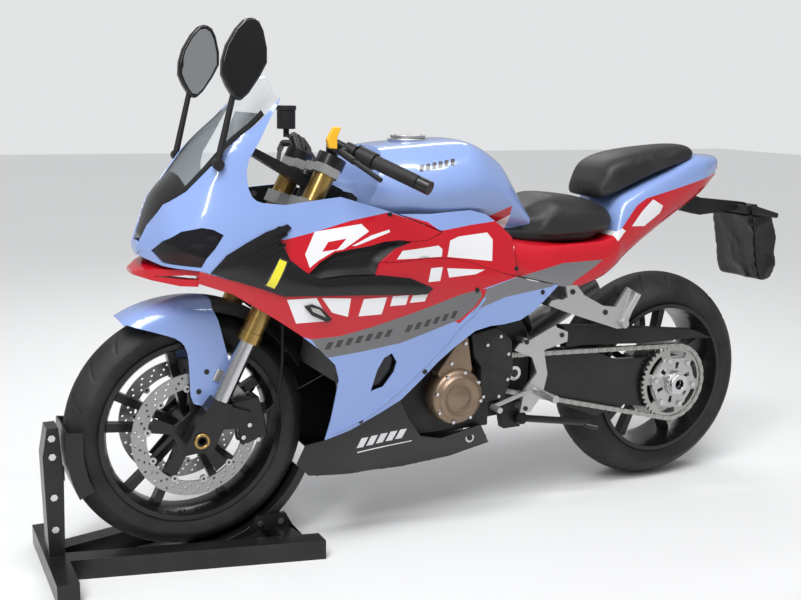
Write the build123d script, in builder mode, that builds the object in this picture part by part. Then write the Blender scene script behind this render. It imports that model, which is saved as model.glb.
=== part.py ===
# Sport bike standing in a front wheel chock.
# Lengths are in millimetres. While the pieces are made, x runs forward from the front axle, y to the
# rider's left and z up from the floor. The last lines move the origin to the middle of the length.
import os
from math import asin, atan2, cos, degrees, pi, radians, sin, sqrt

from build123d import *

os.makedirs("parts", exist_ok=True)

# Driving dimensions
wheelbase = 1440.0
front_tyre_radius = 300.0
front_tyre_width = 120.0
rear_tyre_radius = 315.0
rear_tyre_width = 180.0
bead_radius = 218.0
rim_flange = 5.0
rim_lip = 9.0
chock_lift = 24.0
rake = radians(26.5)
leg_spread = 105.0
axle_lead = 9.0
yoke_offset = 30.0
seat_gap = 0.3
seam = 0.8
shaft_gap = 0.3
fairing_wall = 5.0
chock_tube = 50.0
plate_reach = 1862.0

front_axle_z = front_tyre_radius + chock_lift
rear_axle_x = -wheelbase
rear_axle_z = rear_tyre_radius
post_x = front_tyre_radius + 5.0
chock_reach = post_x + chock_tube
middle_x = (chock_reach - plate_reach) / 2

# The leg plane has its origin beside the front spindle on the centre line of the fork legs:
# its x runs forward square to the legs, its y up along them, and it faces the rider's right.
leg_forward = Vector(cos(rake), 0, sin(rake))
leg_up = Vector(-sin(rake), 0, cos(rake))
leg_foot = Vector(0, 0, front_axle_z) - leg_forward * axle_lead
leg_plane = Plane(origin=leg_foot, x_dir=leg_forward, z_dir=(0, -1, 0))
side_plane = Plane.XZ


def plate(points, y_low, y_high, base=side_plane, grow=0.0):
    """Flat piece with the given side outline, grown all round if asked, between two widths."""
    with BuildPart() as piece:
        with BuildSketch(base.offset(-y_high)):
            with BuildLine():
                Polyline(*points, close=True)
            make_face()
            if grow > 0:
                offset(amount=grow, kind=Kind.INTERSECTION)
        extrude(amount=y_high - y_low)
    return piece.part


def ring(centre, y_low, y_high, radius, bore=0.0, base=side_plane):
    """Round piece about an axis across the bike."""
    with BuildPart() as piece:
        with BuildSketch(base.offset(-y_high)):
            with Locations(centre):
                Circle(radius)
                if bore > 0:
                    Circle(bore, mode=Mode.SUBTRACT)
        extrude(amount=y_high - y_low)
    return piece.part


def arc_band(centre, radius, thickness, start, end, y_low, y_high):
    """Curved strip about an axis across the bike, from one angle in degrees to another."""
    outer = radius + thickness
    span = end - start
    with BuildPart() as piece:
        with BuildSketch(Plane.XZ.offset(-y_high)):
            with BuildLine():
                low = CenterArc(centre, radius, start, span)
                high = CenterArc(centre, outer, start, span)
                Line(low @ 0, high @ 0)
                Line(low @ 1, high @ 1)
            make_face()
        extrude(amount=y_high - y_low)
    return piece.part


def rod(start, end, radius, bore=0.0):
    """Straight round bar or tube between two points."""
    along = Vector(end) - Vector(start)
    with BuildPart() as piece:
        with BuildSketch(Plane(origin=start, z_dir=along)):
            Circle(radius)
            if bore > 0:
                Circle(bore, mode=Mode.SUBTRACT)
        extrude(amount=along.length)
    return piece.part


def cone(start, end, start_radius, end_radius):
    """Tapered round bar between two points."""
    along = Vector(end) - Vector(start)
    with BuildPart() as piece:
        with BuildSketch(Plane(origin=start, z_dir=along)):
            Circle(start_radius)
        with BuildSketch(Plane(origin=end, z_dir=along)):
            Circle(end_radius)
        loft(ruled=True)
    return piece.part


def block(low, high):
    """Rectangular piece between two corners."""
    size = [high[i] - low[i] for i in range(3)]
    with BuildPart() as piece:
        with Locations(Vector(*[(high[i] + low[i]) / 2 for i in range(3)])):
            Box(*size)
    return piece.part


def section_loft(rows):
    """Form symmetrical about the middle plane. A row is (x, left half of the section as (y, z) points)."""
    with BuildPart() as piece:
        for x, half in rows:
            with BuildSketch(Plane(origin=(x, 0, 0), x_dir=(0, 1, 0), z_dir=(1, 0, 0))):
                with BuildLine():
                    Polyline(*half, *[(-y, z) for y, z in reversed(half)], close=True)
                make_face()
        loft(ruled=True)
    return piece.part


def tyre(radius, width, centre, side_drop, rim_half):
    """Solid tyre ring with a crowned tread, seated between the rim's flanges."""
    half = width / 2
    seat = rim_half - rim_flange - seat_gap
    crown = (half * half + side_drop * side_drop) / (2 * side_drop)
    steps = 4
    tread = []
    for i in range(-steps, steps + 1):
        y = half * i / steps
        tread.append((y, radius - crown + sqrt(crown * crown - y * y)))
    shoulder = bead_radius + rim_lip + 1
    profile = [(-seat, bead_radius + seat_gap), (-seat, shoulder), *tread, (seat, shoulder),
               (seat, bead_radius + seat_gap)]
    with BuildPart() as piece:
        with BuildSketch(Plane(origin=(centre[0], 0, centre[1]), x_dir=(0, 1, 0), z_dir=(1, 0, 0))):
            with BuildLine():
                Polyline(*profile, close=True)
            make_face()
        revolve(axis=Axis((centre[0], 0, centre[1]), (0, 1, 0)))
    return piece.part


def rim(centre, half_width, hub_radius, hub_low, hub_high, hub_bore, spoke_pairs, spoke_depth):
    """Wheel with a flanged rim bed, paired spokes and a bored hub."""
    bed = bead_radius - 6
    inner = bead_radius - 14
    lip = bead_radius + rim_lip
    flat = half_width - rim_flange
    profile = [
        (-half_width, lip), (-flat, lip), (-flat, bead_radius), (-half_width / 2, bed),
        (half_width / 2, bed), (flat, bead_radius), (flat, lip), (half_width, lip),
        (half_width, bead_radius - 3), (half_width / 2, inner), (-half_width / 2, inner),
        (-half_width, bead_radius - 3),
    ]
    with BuildPart() as piece:
        with BuildSketch(Plane(origin=(centre[0], 0, centre[1]), x_dir=(0, 1, 0), z_dir=(1, 0, 0))):
            with BuildLine():
                Polyline(*profile, close=True)
            make_face()
        revolve(axis=Axis((centre[0], 0, centre[1]), (0, 1, 0)))
        with BuildSketch(Plane.XZ.offset(-hub_high)):
            with Locations(centre):
                Circle(hub_radius)
        extrude(amount=hub_high - hub_low)
        root = hub_radius - 6
        reach = inner + 4
        for pair in range(spoke_pairs):
            for side in (-1, 1):
                base = radians(90 + 360 * pair / spoke_pairs)
                foot = base + side * 0.22
                tip = base + side * 0.20
                corners = []
                for angle, distance, half in ((foot, root, 8), (tip, reach, 11),
                                              (tip, reach, -11), (foot, root, -8)):
                    corners.append((centre[0] + distance * cos(angle) - half * sin(angle),
                                    centre[1] + distance * sin(angle) + half * cos(angle)))
                with BuildSketch(Plane.XZ.offset(-spoke_depth)):
                    with BuildLine():
                        Polyline(*corners, close=True)
                    make_face()
                extrude(amount=2 * spoke_depth)
        with BuildSketch(Plane.XZ.offset(-hub_high)):
            with Locations(centre):
                Circle(hub_bore)
        extrude(amount=hub_high - hub_low, mode=Mode.SUBTRACT)
    return piece.part


def brake_disc(centre, y_low, y_high, inner, outer, hub, hub_bore, boss_low, boss_high):
    """Disc on a carrier with five arms, and the boss that spaces it from the wheel's hub."""
    with BuildPart() as piece:
        with BuildSketch(Plane.XZ.offset(-y_high)):
            with Locations(centre):
                Circle(outer)
                Circle(inner, mode=Mode.SUBTRACT)
                Circle(hub)
            for arm in range(5):
                angle = radians(18 + 72 * arm)
                middle = (hub + inner) / 2
                with Locations((centre[0] + middle * cos(angle), centre[1] + middle * sin(angle))):
                    Rectangle(inner - hub + 8, 16, rotation=degrees(angle))
        extrude(amount=y_high - y_low)
        with BuildSketch(Plane.XZ.offset(-boss_high)):
            with Locations(centre):
                Circle(hub)
        extrude(amount=boss_high - boss_low)
        with BuildSketch(Plane.XZ.offset(-max(y_high, boss_high))):
            with Locations(centre):
                Circle(hub_bore)
        extrude(amount=max(y_high, boss_high) - min(y_low, boss_low), mode=Mode.SUBTRACT)
    return piece.part


def on_leg(forward, y, up):
    """Point beside the fork leg, from its distances ahead of and along the leg."""
    return leg_foot + leg_forward * forward + leg_up * up + Vector(0, y, 0)


front_hub = (0.0, front_axle_z)
rear_hub_centre = (rear_axle_x, rear_axle_z)

# Front wheel
spindle_radius = 12.5
spindle_bore = 9.0
front_rim_half = 52.0
front_hub_half = 54.7
disc_radius = 155.0
disc_inner = 117.0
disc_low = 67.5
disc_high = 72.5
hub_clear_bore = spindle_radius + shaft_gap

with BuildPart() as front_rim:
    add(rim(front_hub, front_rim_half, 38, -front_hub_half, front_hub_half, hub_clear_bore, 5, 13))

with BuildPart() as front_tyre:
    add(tyre(front_tyre_radius, front_tyre_width, front_hub, 38, front_rim_half))

with BuildPart() as front_discs:
    add(brake_disc(front_hub, disc_low, disc_high, disc_inner, disc_radius, 42, hub_clear_bore,
                   front_hub_half + seat_gap, disc_low))
    mirror(about=Plane.XZ)

# Fork
foot_low = 82.0
foot_high = 128.0
foot_top = 104.0
gold_low = 258.0
gold_high = 730.0
slider_radius = 21.5
gold_radius = 27.0
lower_yoke = (598.0, 630.0)
upper_yoke = (702.0, 724.0)
stem_radius = 16.0
head_tube_bore = stem_radius + shaft_gap

with BuildPart() as fork_lowers:
    add(plate([(-28, -24), (38, -24), (38, 34), (22, foot_top), (-22, foot_top), (-30, 40)],
              foot_low, foot_high, leg_plane))
    add(plate([(-29, 38), (-86, 60), (-86, 104), (-21, 98)], 100 + seat_gap, 112, leg_plane))
    add(plate([(6, 140), (34, 140), (34, 170), (6, 170)], 84 + seat_gap, 88, leg_plane))
    add(rod(on_leg(0, leg_spread, foot_top), on_leg(0, leg_spread, gold_low), slider_radius))
    mirror(about=Plane.XZ)
    add(rod((0, -foot_high - 4, front_axle_z), (0, foot_high + 4, front_axle_z), spindle_radius))
    for side in (-1, 1):
        spacer = sorted((side * (disc_high + seat_gap), side * foot_low))
        add(ring(front_hub, spacer[0], spacer[1], 19))
    add(ring(front_hub, -foot_high - 4, foot_high + 4, spindle_bore), mode=Mode.SUBTRACT)

with BuildPart() as fork_uppers:
    add(rod(on_leg(0, leg_spread, gold_low), on_leg(0, leg_spread, gold_high), gold_radius))
    add(rod(on_leg(0, leg_spread, gold_low), on_leg(0, leg_spread, gold_low + 26), gold_radius + 1.5))
    mirror(about=Plane.XZ)

yoke_outline = [(-yoke_offset - 28, 0), (-yoke_offset - 22, 24), (-34, 104), (-20, 140), (22, 140), (36, 112),
                (24, 70), (30, 34), (4, 0)]


def yoke(low, high, radius):
    """Fork bridge with its clamp holes, square to the legs."""
    half = yoke_outline
    with BuildPart() as piece:
        with BuildSketch(Plane(origin=on_leg(0, 0, low), x_dir=leg_forward, z_dir=leg_up)):
            with BuildLine():
                Polyline(*half, *[(x, -y) for x, y in reversed(half[1:-1])], close=True)
            make_face()
            with Locations((0, leg_spread), (0, -leg_spread)):
                Circle(radius + seat_gap, mode=Mode.SUBTRACT)
        extrude(amount=high - low)
    return piece.part


with BuildPart() as yokes:
    add(yoke(*lower_yoke, gold_radius))
    add(yoke(*upper_yoke, gold_radius))
    add(rod(on_leg(-yoke_offset, 0, lower_yoke[1]), on_leg(-yoke_offset, 0, upper_yoke[0]), stem_radius))
    add(rod(on_leg(-yoke_offset, 0, upper_yoke[1]), on_leg(-yoke_offset, 0, upper_yoke[1] + 14), 17))

# Handlebars: a clamp on each leg above the upper yoke, a riser and the bar
bar_root = Vector(-330, 122, 1032)
bar_end = Vector(-482, 348, 934)
bar_radius = 11.0
bar_along = (bar_end - bar_root).normalized()
bar_length = (bar_end - bar_root).length
grip_length = 122.0
weight_length = 34.0
grip_start = bar_length - weight_length - grip_length


def on_bar(distance, shift=(0, 0, 0)):
    """Point on the left bar, by its distance from the root."""
    return bar_root + bar_along * distance + Vector(*shift)


with BuildPart() as clip_ons:
    add(rod(on_leg(0, leg_spread, upper_yoke[1] + seat_gap), on_leg(0, leg_spread, gold_high + 22),
            gold_radius + 9, 0))
    add(rod(on_leg(0, leg_spread, upper_yoke[1]), on_leg(0, leg_spread, gold_high + seat_gap),
            gold_radius + seat_gap), mode=Mode.SUBTRACT)
    add(rod(on_leg(0, leg_spread, gold_high + 15), on_bar(6), 15))
    add(rod(on_bar(0), on_bar(bar_length - 2), bar_radius))
    add(rod(on_bar(bar_length - weight_length + 2), on_bar(bar_length), 17))
    mirror(about=Plane.XZ)

with BuildPart() as grips:
    add(rod(on_bar(grip_start), on_bar(bar_length - weight_length), 17, bar_radius + seat_gap))
    mirror(about=Plane.XZ)

lever_pivot = on_bar(grip_start - 62, (42, 14, 2))
lever_knee = on_bar(grip_start - 10, (58, 26, 0))
lever_tip = on_bar(grip_start + 92, (84, 34, -2))

with BuildPart() as bar_controls:
    add(rod(on_bar(grip_start - 46), on_bar(grip_start - 1), 21, bar_radius + seat_gap))
    add(rod(on_bar(grip_start - 84), on_bar(grip_start - 56), 17, bar_radius + seat_gap))
    add(rod(on_bar(grip_start - 70, (14, 4, 0)), lever_pivot, 9))
    add(rod(on_bar(grip_start - 56.5, (-9, 0, 15)), on_bar(grip_start - 45.5, (-9, 0, 15)), 5))
    add(rod(lever_pivot, lever_knee, 8))
    add(rod(lever_knee, lever_tip, 6))
    mirror(about=Plane.XZ)
    add(rod((-356, -180, 1018), (-352, -236, 1032), 6))
    add(rod((-352, -236, 1024), (-352, -236, 1045.7), 8))

reservoir_foot = Vector(-352, -236, 1046)
with BuildPart() as brake_reservoir:
    add(rod(reservoir_foot, reservoir_foot + Vector(0, 0, 50), 25))
    add(rod(reservoir_foot + Vector(0, 0, 50), reservoir_foot + Vector(0, 0, 62), 27))

# Front fender: an arch over the tyre and a lobe beside each leg
fender_inner = 309.0
fender_crown = 340.0
fender_half = 72.0
fender_front = 56.0
fender_rear = 152.0

with BuildPart() as fender_arch:
    arch_plane = Plane(origin=(0, 0, front_axle_z), x_dir=(0, 1, 0),
                       z_dir=(sin(radians(fender_front)), 0, -cos(radians(fender_front))))
    with BuildSketch(arch_plane):
        with BuildLine():
            Polyline((-fender_half, fender_inner), (-fender_half + 4, fender_crown - 16), (-40, fender_crown),
                     (40, fender_crown), (fender_half - 4, fender_crown - 16), (fender_half, fender_inner),
                     (fender_half - 3, fender_inner), (fender_half - 8, fender_crown - 18),
                     (38, fender_crown - 3), (-38, fender_crown - 3), (-fender_half + 8, fender_crown - 18),
                     (-fender_half + 3, fender_inner), close=True)
        make_face()
    revolve(axis=Axis((0, 0, front_axle_z), (0, -1, 0)), revolution_arc=fender_rear - fender_front)

lobe_outline = [(126, 309), (90, 274), (39, 233), (13.8, 200), (13.8, 122), (31, 106), (45, 62), (58, 62),
                (114, 172), (139, 196), (205, 232)]
with BuildPart() as fender_sides:
    add(plate(lobe_outline, fender_half + 8, fender_half + 12, leg_plane))
    add(plate([(96, 262), (126, 309), (205, 232), (160, 214)], fender_half - 1.5, fender_half + 8.5,
              leg_plane))
    mirror(about=Plane.XZ)

with BuildPart() as front_fender:
    add(fender_arch.part)
    add(fender_sides.part)

caliper_angle = radians(168)
caliper_out = Vector(cos(caliper_angle), 0, sin(caliper_angle))
caliper_along = Vector(-sin(caliper_angle), 0, cos(caliper_angle))
caliper_centre = Vector(0, 0, front_axle_z) + caliper_out * 134
caliper_corners = []
for out, along in ((-34, -58), (34, -52), (38, 0), (34, 52), (-34, 58)):
    corner = caliper_centre + caliper_out * out + caliper_along * along
    caliper_corners.append((corner.X, corner.Z))

with BuildPart() as front_calipers:
    add(plate(caliper_corners, 44, 100))
    add(ring(front_hub, disc_low - 4, disc_high + 4, disc_radius + 6), mode=Mode.SUBTRACT)
    mirror(about=Plane.XZ)

# Brake hoses, each from the back of its caliper up beside the leg to the brake master cylinder's side
hose_radius = 4.0


def hose(points):
    """Tube along straight runs joined by the largest arcs they allow."""
    spots = [Vector(*point) for point in points]
    radii = []
    for i in range(1, len(spots) - 1):
        run_in = spots[i] - spots[i - 1]
        run_out = spots[i + 1] - spots[i]
        turn = radians(run_in.get_angle(run_out))
        radii.append(0.45 * min(run_in.length, run_out.length) / sin(turn / 2) * cos(turn / 2))
    print("hose radii", [round(radius) for radius in radii])
    with BuildPart() as piece:
        with BuildLine() as path:
            FilletPolyline(*spots, radius=radii)
        with BuildSketch(Plane(origin=path.line @ 0, z_dir=path.line % 0)):
            Circle(hose_radius)
        sweep(path=path.line)
    return piece.part


hose_start = caliper_centre + caliper_out * (38 + seat_gap)
hose_bend = hose_start + caliper_out * 34
hose_clip = on_leg(8, 48, 548)
hose_end = on_leg(8, 48, lower_yoke[0] - seat_gap)
hose_points = [
    (hose_start.X, 80, hose_start.Z), (hose_bend.X, 80, hose_bend.Z), (-212, 84, 420), (-220, 85, 480),
    (-220, 85, 546), (-222, 84, 606), (-230, 76, 664), (-236, 64, 722), (-238, 53, 770),
    (hose_clip.X, hose_clip.Y, hose_clip.Z), (hose_end.X, hose_end.Y, hose_end.Z),
]
with BuildPart() as brake_hose_left:
    add(hose(hose_points))

with BuildPart() as brake_hose_right:
    add(mirror(brake_hose_left.part, about=Plane.XZ, mode=Mode.PRIVATE))

# Fairing form: the sections that all the side panels are cut from.
# A row is the distance from the front axle, then the left half of the section as (y, z) from the top.
fairing_rows = [
    (118, [(8, 800), (22, 797), (30, 790), (32, 782), (32, 776), (28, 770), (20, 766), (8, 764)]),
    (60, [(30, 925), (80, 905), (125, 865), (150, 805), (152, 760), (135, 720), (80, 705), (20, 700)]),
    (-60, [(60, 1060), (168, 1010), (186, 930), (204, 830), (212, 740), (198, 665), (150, 640), (20, 635)]),
    (-200, [(60, 1190), (176, 1110), (194, 960), (216, 800), (226, 700), (214, 560), (198, 330), (172, 215)]),
    (-300, [(60, 1190), (176, 1090), (196, 900), (222, 790), (230, 690), (214, 530), (196, 330), (165, 208)]),
    (-480, [(60, 960), (155, 920), (198, 860), (224, 770), (228, 690), (212, 540), (190, 350), (135, 190)]),
    (-700, [(60, 940), (150, 900), (172, 830), (190, 750), (200, 680), (198, 560), (176, 350), (125, 196)]),
    (-930, [(60, 880), (116, 840), (142, 780), (158, 710), (168, 650), (170, 560), (160, 350), (115, 225)]),
    (-1000, [(60, 860), (112, 820), (136, 765), (152, 700), (160, 645), (162, 560), (154, 350), (110, 235)]),
]
inner_rows = []
for x, half in fairing_rows:
    top = half[0][1]
    bottom = half[-1][1]
    inset = []
    for y, z in half:
        sink = fairing_wall * (1 - 2 * (z - bottom) / (top - bottom))
        inset.append((max(y - fairing_wall, 2), z + sink))
    inner_rows.append((x, inset))
inner_rows[0] = (fairing_rows[0][0] - 2 * fairing_wall, inner_rows[0][1])
inner_rows[-1] = (fairing_rows[-1][0] - 1, inner_rows[-1][1])
fairing_outer = section_loft(fairing_rows)
fairing_shell = fairing_outer - section_loft(inner_rows)
far = 400.0

lamp_outline = [(98, 781), (81, 807), (47, 832), (6, 842), (-17, 838), (-38, 826), (-19, 796), (0, 773),
                (11, 752), (82, 757)]
upper_outline = [
    (119, 762), (119, 790), (69, 886), (28, 919), (-10, 962), (-57, 1014), (-129, 1075), (-189, 1133),
    (-161, 1092), (-131, 1036), (-104, 992), (-98, 948), (-107, 910), (-130, 896), (-183, 890), (-246, 897),
    (-326, 904), (-451, 867), (-600, 809), (-549, 793), (-506, 793), (-474, 798), (-392, 788), (-300, 776),
    (-262, 756), (-224, 722), (-118, 717), (-54, 724), (11, 744), (82, 749),
]
vent_outline = [(-461, 515), (-477, 490), (-471, 464), (-443, 428), (-407, 420), (-423, 475), (-440, 505)]
seam_line = [(-417, 747), (-471, 744), (-545, 749), (-622, 743), (-685, 728), (-783, 695), (-886, 665)]
side_outline = [
    (14.6, 735), (-54, 715), (-118, 708), (-224, 713), (-262, 712), (-405, 716), (-412, 738), *seam_line,
    (-986, 644), (-906, 583), (-855, 561), (-755, 556), (-707, 548), (-648, 513), (-597, 476), (-550, 433),
    (-495, 386), (-439, 359), (-358, 324), (-291, 307), (-312, 410), (-320, 461), (-308, 501), (-267, 542),
    (-215, 584), (-160, 623), (-56, 690), (14.4, 726),
]
tank_cover_outline = [
    (-480, 859), (-572, 855), (-699, 858), (-750, 845), (-796, 814), (-832, 782), (-840, 681),
    (-783, 695 + seam), (-685, 728 + seam), (-622, 743 + seam), (-545, 749 + seam),
    (-471, 744 + seam), (-417, 747 + seam), (-458, 777), (-506, 793 - seam), (-549, 793 - seam),
    (-602, 808 - seam), (-604, 811),
]
belly_outline = [
    (-291, 307 - seam), (-358, 324 - seam), (-439, 359 - seam), (-495, 386 - seam), (-525, 330), (-574, 270),
    (-639, 252), (-762, 275), (-806, 211), (-683, 190), (-529, 182), (-376, 192), (-257, 210), (-222, 249),
    (-240, 300),
]


def shifted(rows, outward):
    """The same sections with every point moved out sideways by the given amount."""
    return [(x, [(max(y + outward, 3), z) for y, z in half]) for x, half in rows]


def panel(outline, y_low, y_high, holes=()):
    """Fairing panel cut from the shell by its side outline."""
    with BuildPart() as piece:
        add(fairing_shell)
        add(plate(outline, y_low, y_high), mode=Mode.INTERSECT)
        for hole in holes:
            add(plate(hole, y_low, y_high), mode=Mode.SUBTRACT)
    return piece.part


with BuildPart() as upper_fairing_left:
    add(panel(upper_outline, seam / 2, far, [lamp_outline]))

with BuildPart() as upper_fairing_right:
    add(mirror(upper_fairing_left.part, about=Plane.XZ, mode=Mode.PRIVATE))

with BuildPart() as side_fairing_left:
    add(panel(side_outline, 20, far, [vent_outline]))
    add(rod((-707, 108 + seat_gap, 656), (-707, 197, 656), 8))

with BuildPart() as side_fairing_right:
    add(mirror(side_fairing_left.part, about=Plane.XZ, mode=Mode.PRIVATE))

with BuildPart() as tank_covers:
    add(panel(tank_cover_outline, 20, far))
    mirror(about=Plane.XZ)

wheel_bay = 160.0
with BuildPart() as belly_pan:
    add(panel(belly_outline, -far, far))
    add(block((-345, -wheel_bay, 100), (0, wheel_bay, 500)), mode=Mode.SUBTRACT)

# Chin below the headlights, with its slot
chin_rows = [
    (130, [(14, 728), (34, 727), (34, 719), (14, 718)]),
    (100, [(50, 742), (82, 738), (82, 712), (50, 709)]),
    (50, [(80, 748), (148, 744), (148, 706), (80, 702)]),
    (15, [(90, 746), (170, 742), (170, 706), (90, 700)]),
]
with BuildPart() as chin:
    add(section_loft(chin_rows))
    add(section_loft([(x - 24, [(y - 12, z - 4) for y, z in half]) for x, half in chin_rows[1:]]),
        mode=Mode.SUBTRACT)
    add(plate([(96, 722), (40, 732), (14, 731), (14, 722)], 60, far), mode=Mode.SUBTRACT)
    add(plate([(96, 722), (40, 732), (14, 731), (14, 722)], -far, -60), mode=Mode.SUBTRACT)

with BuildPart() as headlights:
    add(section_loft(inner_rows[:4]))
    add(plate([(96, 778), (80, 802), (46, 826), (6, 835), (-14, 831), (-30, 822), (-14, 788), (4, 766),
               (14, 758), (80, 762)], 40, far), mode=Mode.INTERSECT)
    mirror(about=Plane.XZ)

# Windscreen: a row is x, the side edge as (y, z), then the height on the middle line
screen_rows = [
    (112, (12, 794), 800), (69, (70, 898), 912), (28, (84, 934), 962), (-13, (112, 974), 1006),
    (-57, (146, 1028), 1058), (-125, (128, 1086), 1120), (-192, (124, 1148), 1190),
]
screen_wall = 4.0
screen_loft = []
for x, (y, z), crown in screen_rows:
    top = [(0.35 * y, crown - 0.1 * (crown - z)), (0.7 * y, crown - 0.45 * (crown - z)), (y, z)]
    screen_loft.append((x, top + [(side, height - screen_wall) for side, height in reversed(top)]))
with BuildPart() as windscreen:
    add(section_loft(screen_loft))
    add(upper_fairing_left.part, mode=Mode.SUBTRACT)
    add(upper_fairing_right.part, mode=Mode.SUBTRACT)

# Winglets and the black intake ducts behind them
blade_outline = [
    (-6, 741), (-54, 724), (-118, 702), (-172, 681), (-325, 674), (-546, 660), (-566, 674), (-499, 704),
    (-417, 717), (-325, 720), (-266, 716), (-225, 735), (-189, 764), (-167, 811), (-195, 838), (-186, 847),
    (-133, 831), (-85, 807), (-40, 781),
]
duct_outline = [
    (-224, 723), (-262, 756 - seam), (-300, 776 - seam), (-392, 788 - seam), (-474, 798 - seam),
    (-506, 793 - seam), (-458, 775), (-417, 748), (-412, 717 + seam), (-325, 720 + seam), (-266, 716 + seam),
]
blade_thickness = 8.0
side_rows = fairing_rows[1:7]
duct_depth = 6.0
duct_lap = 7.0
duct_wall = 8.0
with BuildPart() as winglets:
    add(section_loft(shifted(side_rows, blade_thickness)))
    add(plate(blade_outline, 60, far), mode=Mode.INTERSECT)
    add(section_loft(shifted(side_rows, seat_gap)), mode=Mode.SUBTRACT)
    mirror(about=Plane.XZ)

with BuildPart() as intake_ducts:
    add(section_loft(shifted(side_rows, -duct_depth)))
    add(plate(duct_outline, 60, far, grow=duct_lap), mode=Mode.INTERSECT)
    add(section_loft(shifted(side_rows, -duct_depth - duct_wall)), mode=Mode.SUBTRACT)
    add(upper_fairing_left.part, mode=Mode.SUBTRACT)
    add(side_fairing_left.part, mode=Mode.SUBTRACT)
    mirror(about=Plane.XZ)

# Frame, with the boss and pin that carry the side stand
stand_pivot = Vector(-905, 124, 268)
stand_axis = Vector(-0.043, 0.968, 0.248).normalized()
stand_length = 250.0
stand_folded = Vector(-0.985, 0.02, -0.17).normalized()
stand_pin = 6.0
tank_pad_top = 818.5
spar_outline = [
    (-326, 745), (-376, 838), (-440, 818), (-540, 775), (-700, 735), (-862, 640), (-935, 480), (-935, 330),
    (-915, 238), (-862, 238), (-835, 370), (-802, 560), (-640, 682), (-480, 712), (-380, 690),
]
spar_low = 80.0
spar_high = 108.0
pivot = (-876.0, 401.0)
pivot_radius = 15.0
axis_foot = on_leg(-yoke_offset, 0, 0)
with BuildPart() as main_frame:
    add(plate(spar_outline, spar_low, spar_high))
    mirror(about=Plane.XZ)
    add(rod(on_leg(-yoke_offset, 0, lower_yoke[1] + 1), on_leg(-yoke_offset, 0, upper_yoke[0] - 1), 32))
    add(plate([(-yoke_offset - 20, 634), (-yoke_offset - 20, 698), (-yoke_offset - 60, 698),
               (-yoke_offset - 60, 634)], -38, 38, leg_plane))
    add(plate([(-yoke_offset - 54, 566), (-yoke_offset - 54, 694), (-yoke_offset - 74, 690),
               (-yoke_offset - 74, 566)], -spar_high, spar_high, leg_plane))
    add(plate([(-8, 662), (-8, 692), (191.1, 692), (191.1, 676)], -22, 22, leg_plane))
    add(rod(stand_pivot - stand_axis * 26, stand_pivot - stand_axis * (10 + seat_gap), 12))
    add(rod(stand_pivot - stand_axis * 12, stand_pivot + stand_axis * 10, stand_pin))
    add(rod((-700, -spar_high, 712), (-700, spar_high, 712), 14))
    add(rod((-880, -spar_high, 590), (-880, spar_high, 590), 14))
    add(block((-572, -spar_high, 755), (-552, spar_high, tank_pad_top)))
    add(rod((pivot[0], -spar_high - 20, pivot[1]), (pivot[0], spar_high + 4, pivot[1]), pivot_radius))
    add(rod(on_leg(-yoke_offset, 0, lower_yoke[1] - 5), on_leg(-yoke_offset, 0, upper_yoke[0] + 5),
            head_tube_bore), mode=Mode.SUBTRACT)

# Engine: one plain block
engine_half = 132.0
engine_outline = [
    (-492, 300), (-520, 264), (-795, 264), (-795, 480), (-720, 530), (-650, 560), (-600, 662), (-470, 684),
    (-440, 610), (-492, 470),
]
sprocket_centre = (-795.0, 412.0)
chain_low = 116.0
chain_high = 132.0
with BuildPart() as engine_block:
    add(plate(engine_outline, -engine_half, engine_half))
    add(plate([(-794, 266), (-868, 270), (-846, 352), (-794, 470)], -spar_low + seat_gap,
              spar_low - seat_gap))
    add(plate([(-724, 340), (-800, 340), (-800, 484), (-724, 484)], chain_low - 6, engine_half),
        mode=Mode.SUBTRACT)

generator_centre = (-668.0, 372.0)
with BuildPart() as generator_cover:
    add(ring(generator_centre, engine_half + seat_gap, 192, 74))
    add(ring(generator_centre, 192, 202, 58))
    add(plate([(-612, 440), (-676, 530), (-700, 528), (-716, 440)], engine_half + seat_gap, 176))

with BuildPart() as sprocket_cover:
    add(plate([(-745, 345), (-745, 440), (-722, 470), (-712, 534), (-790, 548), (-838, 506), (-846, 420),
               (-820, 345)], engine_half + seat_gap, 172))

with BuildPart() as clutch_cover:
    add(ring((-690, 372), -188, -engine_half - seat_gap, 92))
    add(plate([(-600, 300), (-600, 430), (-780, 430), (-780, 300)], -165, -engine_half - seat_gap))

with BuildPart() as radiator:
    add(plate([(-362, 420), (-392, 420), (-428, 672), (-398, 672)], -160, 160))
    add(plate([(-402, 670), (-420, 670), (-420, 698.5), (-402, 694.5)], spar_low + 4, spar_high - 4))
    add(plate([(-402, 670), (-420, 670), (-420, 698.5), (-402, 694.5)], 4 - spar_high, -spar_low - 4))

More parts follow.
